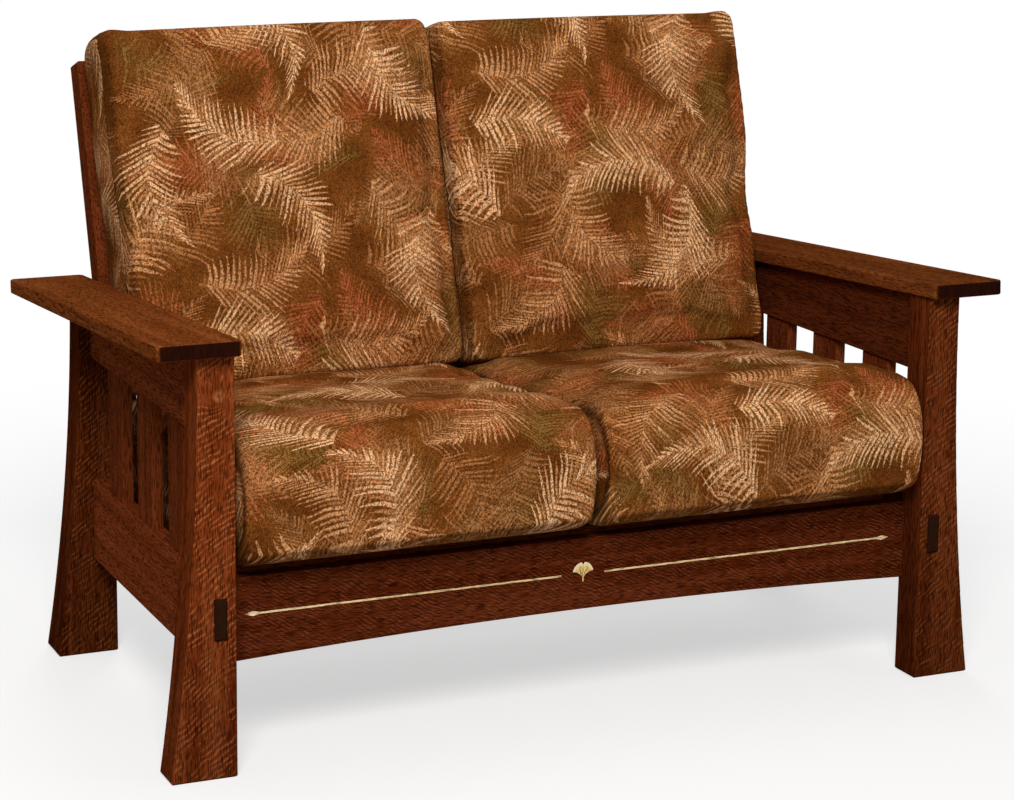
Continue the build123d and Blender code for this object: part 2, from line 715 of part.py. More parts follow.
# Back post: leans between the arms, stands on the rear rail and is bolted to arm and leg
post_mid = post_in + post_width / 2
lower_rail_along = back_lower_rail_rise + back_lower_rail_height / 2
upper_rail_along = post_length - back_upper_rail_drop - back_upper_rail_height / 2
back_rail_mid_depth = back_rail_setback + back_rail_thick / 2
lower_tenon_height = back_lower_rail_height - 2 * back_rail_tenon_shoulder
upper_tenon_height = back_upper_rail_height - 2 * back_rail_tenon_shoulder
tenon_back_depth = back_rail_mid_depth + back_rail_tenon_thick / 2
with BuildPart() as back_post:
    with BuildSketch(back_plane):
        with Locations((post_mid, post_length / 2)):
            Rectangle(post_width, post_length)
    extrude(amount=-post_depth)
    split(bisect_by=Plane.XY.offset(rear_rail_top), keep=Keep.TOP)
    chamfer(back_post.faces().sort_by(Axis.Z)[-1].edges(), length=post_top_chamfer)
    long_edges = back_post.edges().filter_by(lambda e: e.length > post_length / 2)
    fillet(long_edges, radius=leg_edge_round)
    with BuildSketch(back_plane.offset(-(tenon_back_depth + fit_clearance))):
        for along, tenon_height in (
            (lower_rail_along, lower_tenon_height),
            (upper_rail_along, upper_tenon_height),
        ):
            with Locations((post_in, along)):
                Rectangle(
                    2 * (back_rail_tenon_length + fit_clearance), tenon_height + 2 * fit_clearance
                )
    extrude(amount=back_rail_tenon_thick + 2 * fit_clearance, mode=Mode.SUBTRACT)
    with BuildSketch(Plane.YZ.offset(post_in - overrun)):
        with Locations((leg_bolt_y, leg_bolt_height), (arm_bolt_y, arm_bolt_z)):
            Circle(bolt_radius + fit_clearance)
    extrude(amount=post_width + 2 * overrun, mode=Mode.SUBTRACT)
save_pair(back_post, "back_post")

# Rails of the back, tenoned into the posts and housed for the stile and the slats
back_span_low = back_lower_rail_rise + back_lower_rail_height
back_span_high = post_length - back_upper_rail_drop - back_upper_rail_height
back_slat_gap = (post_in - back_stile_width / 2 - back_slat_count * back_slat_width) / (
    back_slat_count + 1
)
back_slat_places = [
    back_stile_width / 2 + back_slat_gap * (i + 1) + back_slat_width * (i + 0.5)
    for i in range(back_slat_count)
]
upright_places = [(0, back_stile_width)] + [
    (side * x, back_slat_width) for side in (1, -1) for x in back_slat_places
]
slat_back_depth = back_rail_mid_depth + tongue_thick / 2
for name, along, height, tenon_height, housing_edge, into in (
    ("back_lower_rail", lower_rail_along, back_lower_rail_height, lower_tenon_height, back_span_low, -1),
    ("back_upper_rail", upper_rail_along, back_upper_rail_height, upper_tenon_height, back_span_high, 1),
):
    with BuildPart() as back_rail:
        with BuildSketch(back_plane.offset(-back_rail_setback)):
            with Locations((0, along)):
                Rectangle(2 * post_in, height)
        extrude(amount=-back_rail_thick)
        fillet(back_rail.edges().filter_by(Axis.X), radius=rail_edge_round)
        with BuildSketch(back_plane.offset(-tenon_back_depth)):
            with Locations((0, along)):
                Rectangle(2 * (post_in + back_rail_tenon_length), tenon_height)
        extrude(amount=back_rail_tenon_thick)
        housing_depth = tongue_length + fit_clearance
        with BuildSketch(back_plane.offset(-(slat_back_depth + fit_clearance))):
            for x, width in upright_places:
                with Locations((x, housing_edge)):
                    Rectangle(
                        width - 2 * tongue_shoulder + 2 * fit_clearance, 2 * housing_depth
                    )
        extrude(amount=tongue_thick + 2 * fit_clearance, mode=Mode.SUBTRACT)
    save(back_rail, name)

# Uprights of the back: a middle stile and thinner slats, all tongued into the rails
back_span = back_span_high - back_span_low
back_span_mid = (back_span_high + back_span_low) / 2
uprights = [("back_stile", 0, back_stile_width, back_rail_thick)]
for number, x in enumerate(back_slat_places, start=1):
    uprights.append((f"back_slat_right_{number}", x, back_slat_width, back_slat_thick))
    uprights.append((f"back_slat_left_{number}", -x, back_slat_width, back_slat_thick))
for name, x, width, thick in uprights:
    with BuildPart() as upright:
        with BuildSketch(back_plane.offset(-(back_rail_mid_depth + thick / 2))):
            with Locations((x, back_span_mid)):
                Rectangle(width, back_span)
        extrude(amount=thick)
        long_edges = upright.edges().filter_by(lambda e: e.length > back_span / 2)
        fillet(long_edges, radius=rail_edge_round)
        with BuildSketch(back_plane.offset(-slat_back_depth)):
            with Locations((x, back_span_mid)):
                Rectangle(width - 2 * tongue_shoulder, back_span + 2 * tongue_length)
        extrude(amount=tongue_thick)
    save(upright, name)

# Bolts: one through each post into the arm, one into the rear leg with a spacer between
for name, y, z, reach in (
    ("arm_bolts", arm_bolt_y, arm_bolt_z, arm_in + arm_bolt_bite),
    ("leg_bolts", leg_bolt_y, leg_bolt_height, leg_in + leg_bolt_bite),
):
    with BuildPart() as right_bolt:
        with BuildSketch(Plane.YZ.offset(post_in)):
            with Locations((y, z)):
                Circle(bolt_radius)
        extrude(amount=reach - post_in)
        with BuildSketch(Plane.YZ.offset(post_in)):
            with Locations((y, z)):
                Circle(bolt_head_radius)
        extrude(amount=-bolt_head_thick)
    with BuildPart() as bolts:
        add(right_bolt.part)
        mirror(right_bolt.part, about=Plane.YZ)
    save(bolts, name)

with BuildPart() as right_spacer:
    with BuildSketch(Plane.YZ.offset(post_out)):
        with Locations((leg_bolt_y, leg_bolt_height)):
            Circle(spacer_radius)
            Circle(bolt_radius + fit_clearance, mode=Mode.SUBTRACT)
    extrude(amount=arm_inset)
with BuildPart() as bolt_spacers:
    add(right_spacer.part)
    mirror(right_spacer.part, about=Plane.YZ)
save(bolt_spacers, "bolt_spacers")


def graded(length):
    """Places for the slices of a cushion, closer together towards its two ends."""
    last = cushion_slices - 1
    return [length * (1 - cos(pi * i / last)) / 2 for i in range(cushion_slices)]


def cushion_section(left, right, low, high, belly_share, crown, low_edge, high_edge):
    """One slice of a cushion: flat below, bellied sides and a crowned top."""
    belly = belly_share * (high - low - low_edge - high_edge)
    middle = (left + right) / 2
    side_low = low + low_edge
    side_high = high - high_edge
    side_mid = (side_low + side_high) / 2
    low_slant = low_edge * (1 - sqrt(0.5))
    high_slant = high_edge * (1 - sqrt(0.5))
    with BuildSketch() as outline:
        with BuildLine():
            Line((left + low_edge, low), (right - low_edge, low))
            ThreePointArc((right - low_edge, low), (right - low_slant, low + low_slant), (right, side_low))
            ThreePointArc((right, side_low), (right + belly, side_mid), (right, side_high))
            ThreePointArc(
                (right, side_high), (right - high_slant, high - high_slant), (right - high_edge, high)
            )
            ThreePointArc((right - high_edge, high), (middle, high + crown), (left + high_edge, high))
            ThreePointArc(
                (left + high_edge, high), (left + high_slant, high - high_slant), (left, side_high)
            )
            ThreePointArc((left, side_high), (left - belly, side_mid), (left, side_low))
            ThreePointArc((left, side_low), (left + low_slant, low + low_slant), (left + low_edge, low))
        make_face()
    return outline.sketch


# Seat cushion: lies on the deck, its front rolled over the front rail, its rear cut to the back
seat_front_y = leg_front_y - seat_front_reach
seat_rear_y = back_foot_y + seat_height_rear * tan(recline)
seat_depth = seat_rear_y - seat_front_y
seat_belly = seat_belly_share * (seat_height_front - 2 * seat_edge_radius)
seat_right = leg_in - cushion_side_gap - seat_belly
seat_left = cushion_parting + seat_belly
with BuildPart() as seat_cushion:
    for station in graded(seat_depth):
        y = seat_front_y + station
        from_rear = seat_depth - station
        rise = seat_height_front + (seat_height_rear - seat_height_front) * station / seat_depth
        low = deck_top(y)
        high = low + rise
        high -= roll(station, seat_front_top_run, seat_front_top_fall)
        high -= roll(from_rear, seat_rear_top_run, seat_rear_top_fall)
        low += roll(station, seat_front_low_run, seat_front_low_rise)
        low += roll(from_rear, seat_rear_low_roll, seat_rear_low_roll)
        draw_in = roll(station, seat_front_plan_roll, seat_front_plan_roll)
        draw_in += roll(from_rear, seat_rear_plan_roll, seat_rear_plan_roll)
        fullness = 4 * station * from_rear / seat_depth**2
        with BuildSketch(Plane.XZ.offset(-y)):
            add(
                cushion_section(
                    seat_left + draw_in,
                    seat_right - draw_in,
                    low,
                    high,
                    seat_belly_share,
                    seat_crown * (seat_end_crown_share + (1 - seat_end_crown_share) * fullness),
                    seat_edge_radius,
                    seat_edge_radius,
                )
            )
    loft()
    split(bisect_by=deck_plane.offset(lay_clearance), keep=Keep.TOP)
    split(bisect_by=back_plane.offset(lay_clearance), keep=Keep.TOP)
save_pair(seat_cushion, "seat_cushion")

# Back cushion: leans on the back frame, narrower between the arms than above them
arm_level = (arm_front_height - rear_rail_top) / cos(recline)
back_side_depth = back_cushion_thick - back_cushion_front_edge_radius - back_cushion_rear_edge_radius
back_belly = back_cushion_belly_share * back_side_depth
low_side = arm_in - back_cushion_arm_gap - back_belly
with BuildPart() as back_cushion:
    for station in graded(back_cushion_height):
        from_top = back_cushion_height - station
        rear = roll(station, back_cushion_low_rear_roll, back_cushion_low_rear_roll)
        rear += roll(from_top, back_cushion_top_rear_roll, back_cushion_top_rear_roll)
        front = back_cushion_thick
        front -= roll(station, back_cushion_low_front_roll, back_cushion_low_front_roll)
        front -= roll(from_top, back_cushion_top_front_roll, back_cushion_top_front_roll)
        draw_in = roll(station, back_cushion_plan_roll, back_cushion_plan_roll)
        draw_in += roll(from_top, back_cushion_plan_roll, back_cushion_plan_roll)
        above_arm = back_cushion_foot + station - (arm_level - arm_thick)
        spread = min(max(above_arm / back_cushion_spread_run, 0), 1)
        right = low_side - draw_in + back_cushion_overhang * spread
        fullness = 4 * station * from_top / back_cushion_height**2
        slice_plane = Plane(
            origin=back_plane.from_local_coords((0, back_cushion_foot + station, 0)),
            x_dir=(1, 0, 0),
            z_dir=-back_plane.y_dir,
        )
        with BuildSketch(slice_plane):
            add(
                cushion_section(
                    cushion_parting + back_belly + draw_in,
                    right,
                    rear,
                    front,
                    back_cushion_belly_share,
                    back_cushion_crown * (back_end_crown_share + (1 - back_end_crown_share) * fullness),
                    back_cushion_rear_edge_radius,
                    back_cushion_front_edge_radius,
                )
            )
    loft()
    split(bisect_by=back_plane.offset(lay_clearance), keep=Keep.TOP)
save_pair(back_cushion, "back_cushion")
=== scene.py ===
import math

import bpy
import numpy as np
from mathutils import Matrix, Vector


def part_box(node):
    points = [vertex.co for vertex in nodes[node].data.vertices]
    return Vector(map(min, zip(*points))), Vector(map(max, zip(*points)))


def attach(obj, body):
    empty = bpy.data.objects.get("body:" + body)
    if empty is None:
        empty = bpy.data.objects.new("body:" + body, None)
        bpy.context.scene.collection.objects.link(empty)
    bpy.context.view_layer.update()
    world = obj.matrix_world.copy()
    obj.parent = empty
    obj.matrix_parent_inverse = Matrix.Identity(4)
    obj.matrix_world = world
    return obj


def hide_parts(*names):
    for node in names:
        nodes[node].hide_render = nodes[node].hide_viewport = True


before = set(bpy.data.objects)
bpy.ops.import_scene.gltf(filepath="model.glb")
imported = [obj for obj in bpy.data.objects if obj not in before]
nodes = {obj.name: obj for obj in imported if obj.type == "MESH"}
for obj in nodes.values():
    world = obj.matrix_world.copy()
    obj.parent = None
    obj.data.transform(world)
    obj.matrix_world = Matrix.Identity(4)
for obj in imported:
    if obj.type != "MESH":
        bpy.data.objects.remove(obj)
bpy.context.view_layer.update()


# THE ROOM
# A plain pale floor, a large soft lamp high at the left front, and weaker ones at the
# right, behind and overhead. The camera stands left of the piece, at eye height.
camera_place = (-1.7696, -3.9683, 1.4527)
camera_turn = math.radians(-23.38)
camera_dip = math.radians(11.61)
camera_roll = math.radians(0.48)
camera_lens = 95.3
camera_shift = (0.0493, -0.0789)

look = Vector(
    (
        -math.sin(camera_turn) * math.cos(camera_dip),
        math.cos(camera_turn) * math.cos(camera_dip),
        -math.sin(camera_dip),
    )
)
level_right = look.cross(Vector((0, 0, 1))).normalized()
level_up = level_right.cross(look)
camera_right = level_right * math.cos(camera_roll) + level_up * math.sin(camera_roll)
camera_up = level_up * math.cos(camera_roll) - level_right * math.sin(camera_roll)
camera = bpy.data.objects.new("camera", bpy.data.cameras.new("camera"))
camera.data.lens = camera_lens
camera.data.sensor_width = 36
camera.data.shift_x, camera.data.shift_y = camera_shift
camera.data.clip_end = 60
camera.matrix_world = Matrix.Translation(camera_place) @ Matrix(
    (camera_right, camera_up, -look)
).transposed().to_4x4()
bpy.context.collection.objects.link(camera)
scene = bpy.context.scene
scene.camera = camera
scene.view_settings.view_transform = "Standard"


def hang_lamp(name, place, aim, size, power, tint):
    """A square soft lamp that faces a point of the piece."""
    lamp = bpy.data.objects.new(name, bpy.data.lights.new(name, "AREA"))
    lamp.data.shape = "SQUARE"
    lamp.data.size = size
    lamp.data.energy = power
    lamp.data.color = tint
    lamp.location = place
    lamp.rotation_euler = (Vector(aim) - Vector(place)).to_track_quat("-Z", "Y").to_euler()
    bpy.context.collection.objects.link(lamp)


piece_middle = (0, 0, 0.5)
hang_lamp("key_lamp", (-2.0, -4.2, 4.0), piece_middle, 1.8, 258, (1.0, 0.97, 0.94))
hang_lamp("side_lamp", (3.0, -2.8, 1.9), (0, 0, 0.4), 1.6, 9, (1.0, 0.98, 0.96))
hang_lamp("back_lamp", (1.2, 4.4, 2.6), piece_middle, 2.0, 70, (1.0, 1.0, 1.0))
hang_lamp("top_lamp", (-0.4, 0.4, 3.4), piece_middle, 2.0, 12, (1.0, 1.0, 1.0))


def put(tree, kind, settings=None, feeds=None):
    """One shader node, with its settings and with what feeds each of its inputs."""
    node = tree.nodes.new(kind)
    for key, value in (settings or {}).items():
        setattr(node, key, value)
    for key, value in (feeds or {}).items():
        if isinstance(value, bpy.types.NodeSocket):
            tree.links.new(value, node.inputs[key])
        else:
            node.inputs[key].default_value = value
    return node


def sums(tree, operation, *values):
    """A Math node's result."""
    return put(tree, "ShaderNodeMath", {"operation": operation}, dict(enumerate(values))).outputs[0]


def ease(tree, value, low, high, start=0.0, end=1.0):
    """Value turned smoothly from start to end as it goes from low to high."""
    limits = {"Value": value, "From Min": low, "From Max": high, "To Min": start, "To Max": end}
    return put(tree, "ShaderNodeMapRange", {"interpolation_type": "SMOOTHSTEP"}, limits).outputs[0]


def shows_background(tree):
    """One for the rays that see the background: direct, mirrored or through glass."""
    rays = put(tree, "ShaderNodeLightPath").outputs
    beyond = sums(tree, "MAXIMUM", rays["Is Glossy Ray"], rays["Is Transmission Ray"])
    return sums(tree, "MAXIMUM", rays["Is Camera Ray"], beyond)


def shared_out(tree, share, first, second):
    """One shader laid over another by a share."""
    return put(tree, "ShaderNodeMixShader", None, {0: share, 1: first, 2: second}).outputs[0]


world = bpy.data.worlds.new("studio")
world.use_nodes = True
scene.world = world
sky = world.node_tree
sky.nodes.clear()
sky_dim = put(sky, "ShaderNodeBackground", None, {"Color": (0.96, 0.97, 1.0, 1), "Strength": 0.2})
sky_white = put(sky, "ShaderNodeBackground", None, {"Color": (1, 1, 1, 1), "Strength": 1.0})
sky_mix = shared_out(sky, shows_background(sky), sky_dim.outputs[0], sky_white.outputs[0])
put(sky, "ShaderNodeOutputWorld", None, {0: sky_mix})

floor_reach = 14.0
floor_shaded_to, floor_white_from = 0.9, 2.4
floor_mesh = bpy.data.meshes.new("floor")
floor_mesh.from_pydata(
    [(x * floor_reach, y * floor_reach, 0) for x, y in ((-1, -1), (1, -1), (1, 1), (-1, 1))],
    [],
    [(0, 1, 2, 3)],
)
floor = bpy.data.objects.new("floor", floor_mesh)
bpy.context.collection.objects.link(floor)
floor_paint = bpy.data.materials.new("pale_floor")
floor_paint.use_nodes = True
tree = floor_paint.node_tree
floor_shader = tree.nodes["Principled BSDF"]
floor_shader.inputs["Base Color"].default_value = (0.46, 0.46, 0.46, 1)
floor_shader.inputs["Roughness"].default_value = 0.9
floor_shader.inputs["Specular IOR Level"].default_value = 0.0
floor_place = put(tree, "ShaderNodeTexCoord").outputs["Object"]
floor_distance = put(tree, "ShaderNodeVectorMath", {"operation": "LENGTH"}, {0: floor_place})
floor_far = ease(tree, floor_distance.outputs["Value"], floor_shaded_to, floor_white_from)
floor_seen = shows_background(tree)
floor_lift = put(tree, "ShaderNodeEmission", None, {"Strength": 0.58}).outputs[0]
floor_add = put(tree, "ShaderNodeAddShader", None, {0: floor_shader.outputs[0], 1: floor_lift})
floor_near = shared_out(tree, floor_seen, floor_shader.outputs[0], floor_add.outputs[0])
floor_glow = put(tree, "ShaderNodeEmission", None, {"Strength": 1.0}).outputs[0]
floor_mix = shared_out(tree, sums(tree, "MULTIPLY", floor_seen, floor_far), floor_near, floor_glow)
tree.links.new(floor_mix, tree.nodes["Material Output"].inputs["Surface"])
floor.data.materials.append(floor_paint)


# LEGS
# Quartersawn white oak, stained a deep red-brown. Ray fleck crosses the front faces
# in slanting, wavy lines, broken up by the short dark pores of the grain.
def mingle(tree, share, first, second, mode="MIX"):
    """One colour laid over another by a share."""
    feeds = {0: share, 6: first, 7: second}
    return put(tree, "ShaderNodeMix", {"data_type": "RGBA", "blend_type": mode}, feeds).outputs[2]


def noise(tree, place, scale, detail=2.0, roughness=0.55):
    """Noise from 0 to 1, centred on about one half."""
    feeds = {"Vector": place, "Scale": scale, "Detail": detail, "Roughness": roughness}
    return put(tree, "ShaderNodeTexNoise", None, feeds).outputs[0]


def stretch(tree, place, scale, turn=(0, 0, 0), shift=(0, 0, 0)):
    """A place, scaled, turned and shifted."""
    feeds = {"Vector": place, "Scale": scale, "Rotation": turn, "Location": shift}
    return put(tree, "ShaderNodeMapping", None, feeds).outputs[0]


def open_group(name, inputs, outputs):
    """An empty shader node group with named sockets."""
    group = bpy.data.node_groups.new(name, "ShaderNodeTree")
    for socket, kind in inputs:
        group.interface.new_socket(socket, in_out="INPUT", socket_type="NodeSocket" + kind)
    for socket, kind in outputs:
        group.interface.new_socket(socket, in_out="OUTPUT", socket_type="NodeSocket" + kind)
    return group, group.nodes.new("NodeGroupInput"), group.nodes.new("NodeGroupOutput")


def grey(tree, value):
    """One value as a colour."""
    return put(tree, "ShaderNodeCombineColor", None, {0: value, 1: value, 2: value}).outputs[0]


def shaded(tree, colour, share):
    """A colour times a share."""
    return mingle(tree, 1.0, colour, grey(tree, share), "MULTIPLY")


oak_group, oak_in, oak_out = open_group(
    "stained_oak",
    [
        ("Along Grain", "Vector"),
        ("Dark", "Color"),
        ("Light", "Color"),
        ("Fleck", "Color"),
        ("Fleck Share", "Float"),
        ("Fleck Direction", "Vector"),
        ("Fleck Rate", "Float"),
        ("Eye Place", "Vector"),
    ],
    [("Color", "Color"), ("Roughness", "Float"), ("Height", "Float")],
)
grain_place = oak_in.outputs["Along Grain"]
pore_stretch = (55.0, 620.0, 620.0)
streak_stretch = (1.6, 60.0, 60.0)
board_stretch = (2.2, 9.0, 9.0)
wander_scale, wander_turns = 9.0, 22.0
wobble_scale, wobble_turns = 42.0, 9.0
patch_scale = 46.0
ripple_crest, ripple_hollow = 0.42, -0.2
eye_reach, eye_turns = 0.034, 14.0
eye_ring, eye_ring_full, eye_ring_share = 0.012, 0.005, 0.5
eye_middle_edge, eye_middle_full = 0.0042, 0.0018
pore_dark, pore_light = 0.42, 1.12
hollow_depth = 0.42
pores = noise(oak_group, stretch(oak_group, grain_place, pore_stretch), 1.0, 1.0, 0.5)
streaks = noise(oak_group, stretch(oak_group, grain_place, streak_stretch), 1.0, 3.0)
board_tone = noise(oak_group, stretch(oak_group, grain_place, board_stretch), 1.0, 2.0)
along_fleck = put(
    oak_group,
    "ShaderNodeVectorMath",
    {"operation": "DOT_PRODUCT"},
    {0: grain_place, 1: oak_in.outputs["Fleck Direction"]},
).outputs["Value"]
from_eye = put(
    oak_group,
    "ShaderNodeVectorMath",
    {"operation": "DISTANCE"},
    {0: grain_place, 1: oak_in.outputs["Eye Place"]},
).outputs["Value"]
wander = sums(oak_group, "MULTIPLY", noise(oak_group, grain_place, wander_scale, 1.0), wander_turns)
wobble = sums(oak_group, "MULTIPLY", noise(oak_group, grain_place, wobble_scale, 2.0), wobble_turns)
swirl = ease(oak_group, from_eye, eye_reach, 0.0, 0.0, eye_turns)
fleck_phase = sums(
    oak_group,
    "ADD",
    sums(oak_group, "MULTIPLY_ADD", along_fleck, oak_in.outputs["Fleck Rate"], swirl),
    sums(oak_group, "ADD", wander, wobble),
)
ripple = sums(oak_group, "SINE", fleck_phase)
patchy = ease(oak_group, noise(oak_group, grain_place, patch_scale, 3.0), 0.36, 0.62)
broken = ease(oak_group, pores, 0.36, 0.54, 0.15, 1.0)
fleck_here = sums(oak_group, "MULTIPLY", patchy, oak_in.outputs["Fleck Share"])
crest_mask = sums(oak_group, "MULTIPLY", ease(oak_group, ripple, ripple_crest, 1.0), fleck_here)
fleck_mask = sums(oak_group, "MULTIPLY", crest_mask, broken)
hollow_mask = sums(oak_group, "MULTIPLY", ease(oak_group, ripple, ripple_hollow, -1.0), fleck_here)
eye_mask = ease(oak_group, from_eye, eye_ring, eye_ring_full, 0.0, eye_ring_share)
eye_middle = ease(oak_group, from_eye, eye_middle_edge, eye_middle_full)
light_share = sums(
    oak_group,
    "MULTIPLY",
    ease(oak_group, streaks, 0.28, 0.72),
    ease(oak_group, board_tone, 0.3, 0.7, 0.45, 1.0),
)
wood_tone = mingle(oak_group, light_share, oak_in.outputs["Dark"], oak_in.outputs["Light"])
pale_share = sums(oak_group, "MAXIMUM", fleck_mask, eye_mask)
fleck_tone = mingle(oak_group, pale_share, wood_tone, oak_in.outputs["Fleck"])
hollows = sums(oak_group, "ADD", hollow_mask, eye_middle)
pore_shade = sums(
    oak_group,
    "MULTIPLY",
    ease(oak_group, pores, 0.38, 0.53, pore_dark, pore_light),
    sums(oak_group, "MULTIPLY_ADD", hollows, -hollow_depth, 1.0),
)
oak_group.links.new(shaded(oak_group, fleck_tone, pore_shade), oak_out.inputs["Color"])
oak_group.links.new(ease(oak_group, pores, 0.3, 0.6, 0.58, 0.42), oak_out.inputs["Roughness"])
oak_group.links.new(pore_shade, oak_out.inputs["Height"])

grain_turns = {"x": (0, 0, 0), "y": (0, 0, math.radians(-90)), "z": (0, math.radians(90), 0)}
axis_numbers = {"x": 0, "y": 1, "z": 2}
no_fleck_turn, full_fleck_turn = 0.5, 0.9
no_gloss = 0.0
no_eye = (0, 0, 9)


def oak(name, along, tones, share=0.0, rate=740.0, slant=55.0, face=None, shift=(0, 0, 0), eye=no_eye):
    """Stained oak with its grain along one axis and its fleck on the faces across another."""
    paint = bpy.data.materials.new(name)
    paint.use_nodes = True
    tree = paint.node_tree
    shader = tree.nodes["Principled BSDF"]
    place = put(tree, "ShaderNodeTexCoord")
    fleck_share = share
    if face:
        facing = put(tree, "ShaderNodeSeparateXYZ", None, {0: place.outputs["Normal"]})
        turned_to = sums(tree, "ABSOLUTE", facing.outputs[axis_numbers[face]])
        fleck_share = ease(tree, turned_to, no_fleck_turn, full_fleck_turn, 0.0, share)
    dark, light, fleck = tones
    angle = math.radians(slant)
    grain = stretch(tree, place.outputs["Object"], (1, 1, 1), grain_turns[along], shift)
    board = put(
        tree,
        "ShaderNodeGroup",
        {"node_tree": oak_group},
        {
            "Along Grain": grain,
            "Dark": (*dark, 1),
            "Light": (*light, 1),
            "Fleck": (*fleck, 1),
            "Fleck Share": fleck_share,
            "Fleck Direction": (math.sin(angle), 0, math.cos(angle)),
            "Fleck Rate": rate,
            "Eye Place": eye,
        },
    )
    tree.links.new(board.outputs["Color"], shader.inputs["Base Color"])
    tree.links.new(board.outputs["Roughness"], shader.inputs["Roughness"])
    relief = {"Height": board.outputs["Height"], "Strength": 0.25, "Distance": 0.0005}
    tree.links.new(put(tree, "ShaderNodeBump", None, relief).outputs[0], shader.inputs["Normal"])
    shader.inputs["Specular IOR Level"].default_value = no_gloss
    return paint


def finish_nodes(names, paint):
    """Give carried-over solids their finish."""
    for name in names:
        nodes[name].data.materials.clear()
        nodes[name].data.materials.append(paint)


def bare_board(paint):
    """A wood's shader tree, its shader, and the colour that feeds it so far."""
    tree = paint.node_tree
    shader = tree.nodes["Principled BSDF"]
    return tree, shader, shader.inputs["Base Color"].links[0].from_socket


def stain_and_light_toned(tones, stain_and_light):
    """A wood's three tones times one factor: painted light and shade, and on the legs a deeper stain as
    well.
    """
    return [[part * stain_and_light for part in tone] for tone in tones]


leg_tones = ((0.120, 0.0185, 0.0030), (0.310, 0.072, 0.0185), (0.46, 0.155, 0.048))
# The right and rear legs are darker: partly a deeper stain, partly painted shade, as the light falls off to
# the right and towards the back.
leg_stain_and_light = {"front_leg_left": 1.05, "front_leg_right": 0.62, "rear_leg_left": 0.56, "rear_leg_right": 0.56}
leg_fleck = (0.62, 740.0, 55.0, "y")
leg_eye = (0.576, -0.424, 0.6055)
next_plank = 0.7
# Painted shade: each leg darkens towards the floor, as less light reaches its foot.
foot_dark_to, leg_even_from, foot_shade_level = 0.04, 0.40, 0.68
for number, (name, stain_and_light) in enumerate(leg_stain_and_light.items()):
    tones = stain_and_light_toned(leg_tones, stain_and_light)
    plank = (0, number * next_plank, 0)
    leg_oak = oak(name + "_oak", "z", tones, *leg_fleck, plank, leg_eye)
    tree, shader, plain = bare_board(leg_oak)
    place = put(tree, "ShaderNodeTexCoord").outputs["Object"]
    height = put(tree, "ShaderNodeSeparateXYZ", None, {0: place}).outputs[2]
    # Painted shade: the leg's colour is darkened towards its foot.
    foot_painted_shade = ease(tree, height, foot_dark_to, leg_even_from, foot_shade_level, 1.0)
    tree.links.new(shaded(tree, plain, foot_painted_shade), shader.inputs["Base Color"])
    finish_nodes([name], leg_oak)


# SIDES
# Two rails a side and three slats between them, of plainer oak than the legs. The
# lower rail's tenon comes through the front leg and shows as a near-black block.
side_tones = ((0.120, 0.0240, 0.0060), (0.215, 0.047, 0.0130), (0.27, 0.070, 0.024))
# Painted light and shade: the left rails are lit up brighter, the right rails darkened for the arm's shade
# over their inner faces.
side_rail_painted_light = {"left": 1.35, "right": 0.58}
side_fleck = (0.25, 740.0, 60.0, "x")
tenon_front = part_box("lower_side_rail_left")[0][1]
end_grain_run = 0.012
end_grain_scale = 700.0
tenon_dark, tenon_light = (0.008, 0.0035, 0.002, 1), (0.040, 0.014, 0.006, 1)
slat_oak = oak("side_slat_oak", "z", side_tones, *side_fleck)
finish_nodes([f"side_slat_{n}_{side}" for n in (1, 2, 3) for side in ("left", "right")], slat_oak)
for side, stain_and_light in side_rail_painted_light.items():
    tones = stain_and_light_toned(side_tones, stain_and_light)
    finish_nodes([f"upper_side_rail_{side}"], oak(f"side_rail_oak_{side}", "y", tones, *side_fleck))
    lower_oak = oak(f"lower_rail_oak_{side}", "y", tones, *side_fleck)
    tree, shader, plain = bare_board(lower_oak)
    place = put(tree, "ShaderNodeTexCoord").outputs["Object"]
    distance_back = put(tree, "ShaderNodeSeparateXYZ", None, {0: place}).outputs[1]
    at_end = ease(tree, distance_back, tenon_front + end_grain_run, tenon_front + end_grain_run / 2)
    end_tone = mingle(tree, noise(tree, place, end_grain_scale), tenon_dark, tenon_light)
    tree.links.new(mingle(tree, at_end, plain, end_tone), shader.inputs["Base Color"])
    finish_nodes([f"lower_side_rail_{side}"], lower_oak)


# ARMS
# Wide flat boards with rounded corners, planed to slope down to the back. Their ends
# drink in the stain and are near black.
arm_tones = ((0.160, 0.039, 0.0080), (0.265, 0.073, 0.0170), (0.31, 0.095, 0.028))
# Painted shade: the right arm is darker than the left, as the light falls off to the right.
arm_painted_light = {"left": 1.05, "right": 0.80}
arm_fleck = (0.2, 500.0, 70.0, "z")
arm_end_stretch = (240.0, 240.0, 50.0)
arm_end_dark, arm_end_light = (0.008, 0.0016, 0.0009, 1), (0.030, 0.0075, 0.004, 1)
for side, stain_and_light in arm_painted_light.items():
    tones = stain_and_light_toned(arm_tones, stain_and_light)
    arm_oak = oak(f"arm_board_oak_{side}", "y", tones, *arm_fleck)
    tree, shader, plain = bare_board(arm_oak)
    place = put(tree, "ShaderNodeTexCoord")
    facing = put(tree, "ShaderNodeSeparateXYZ", None, {0: place.outputs["Normal"]}).outputs
    at_end = ease(tree, sums(tree, "ABSOLUTE", facing[1]), 0.6, 0.95)
    end_lines = noise(tree, stretch(tree, place.outputs["Object"], arm_end_stretch), 1.0)
    end_tone = mingle(tree, end_lines, arm_end_dark, arm_end_light)
    tree.links.new(mingle(tree, at_end, plain, end_tone), shader.inputs["Base Color"])
    finish_nodes([f"arm_{side}"], arm_oak)


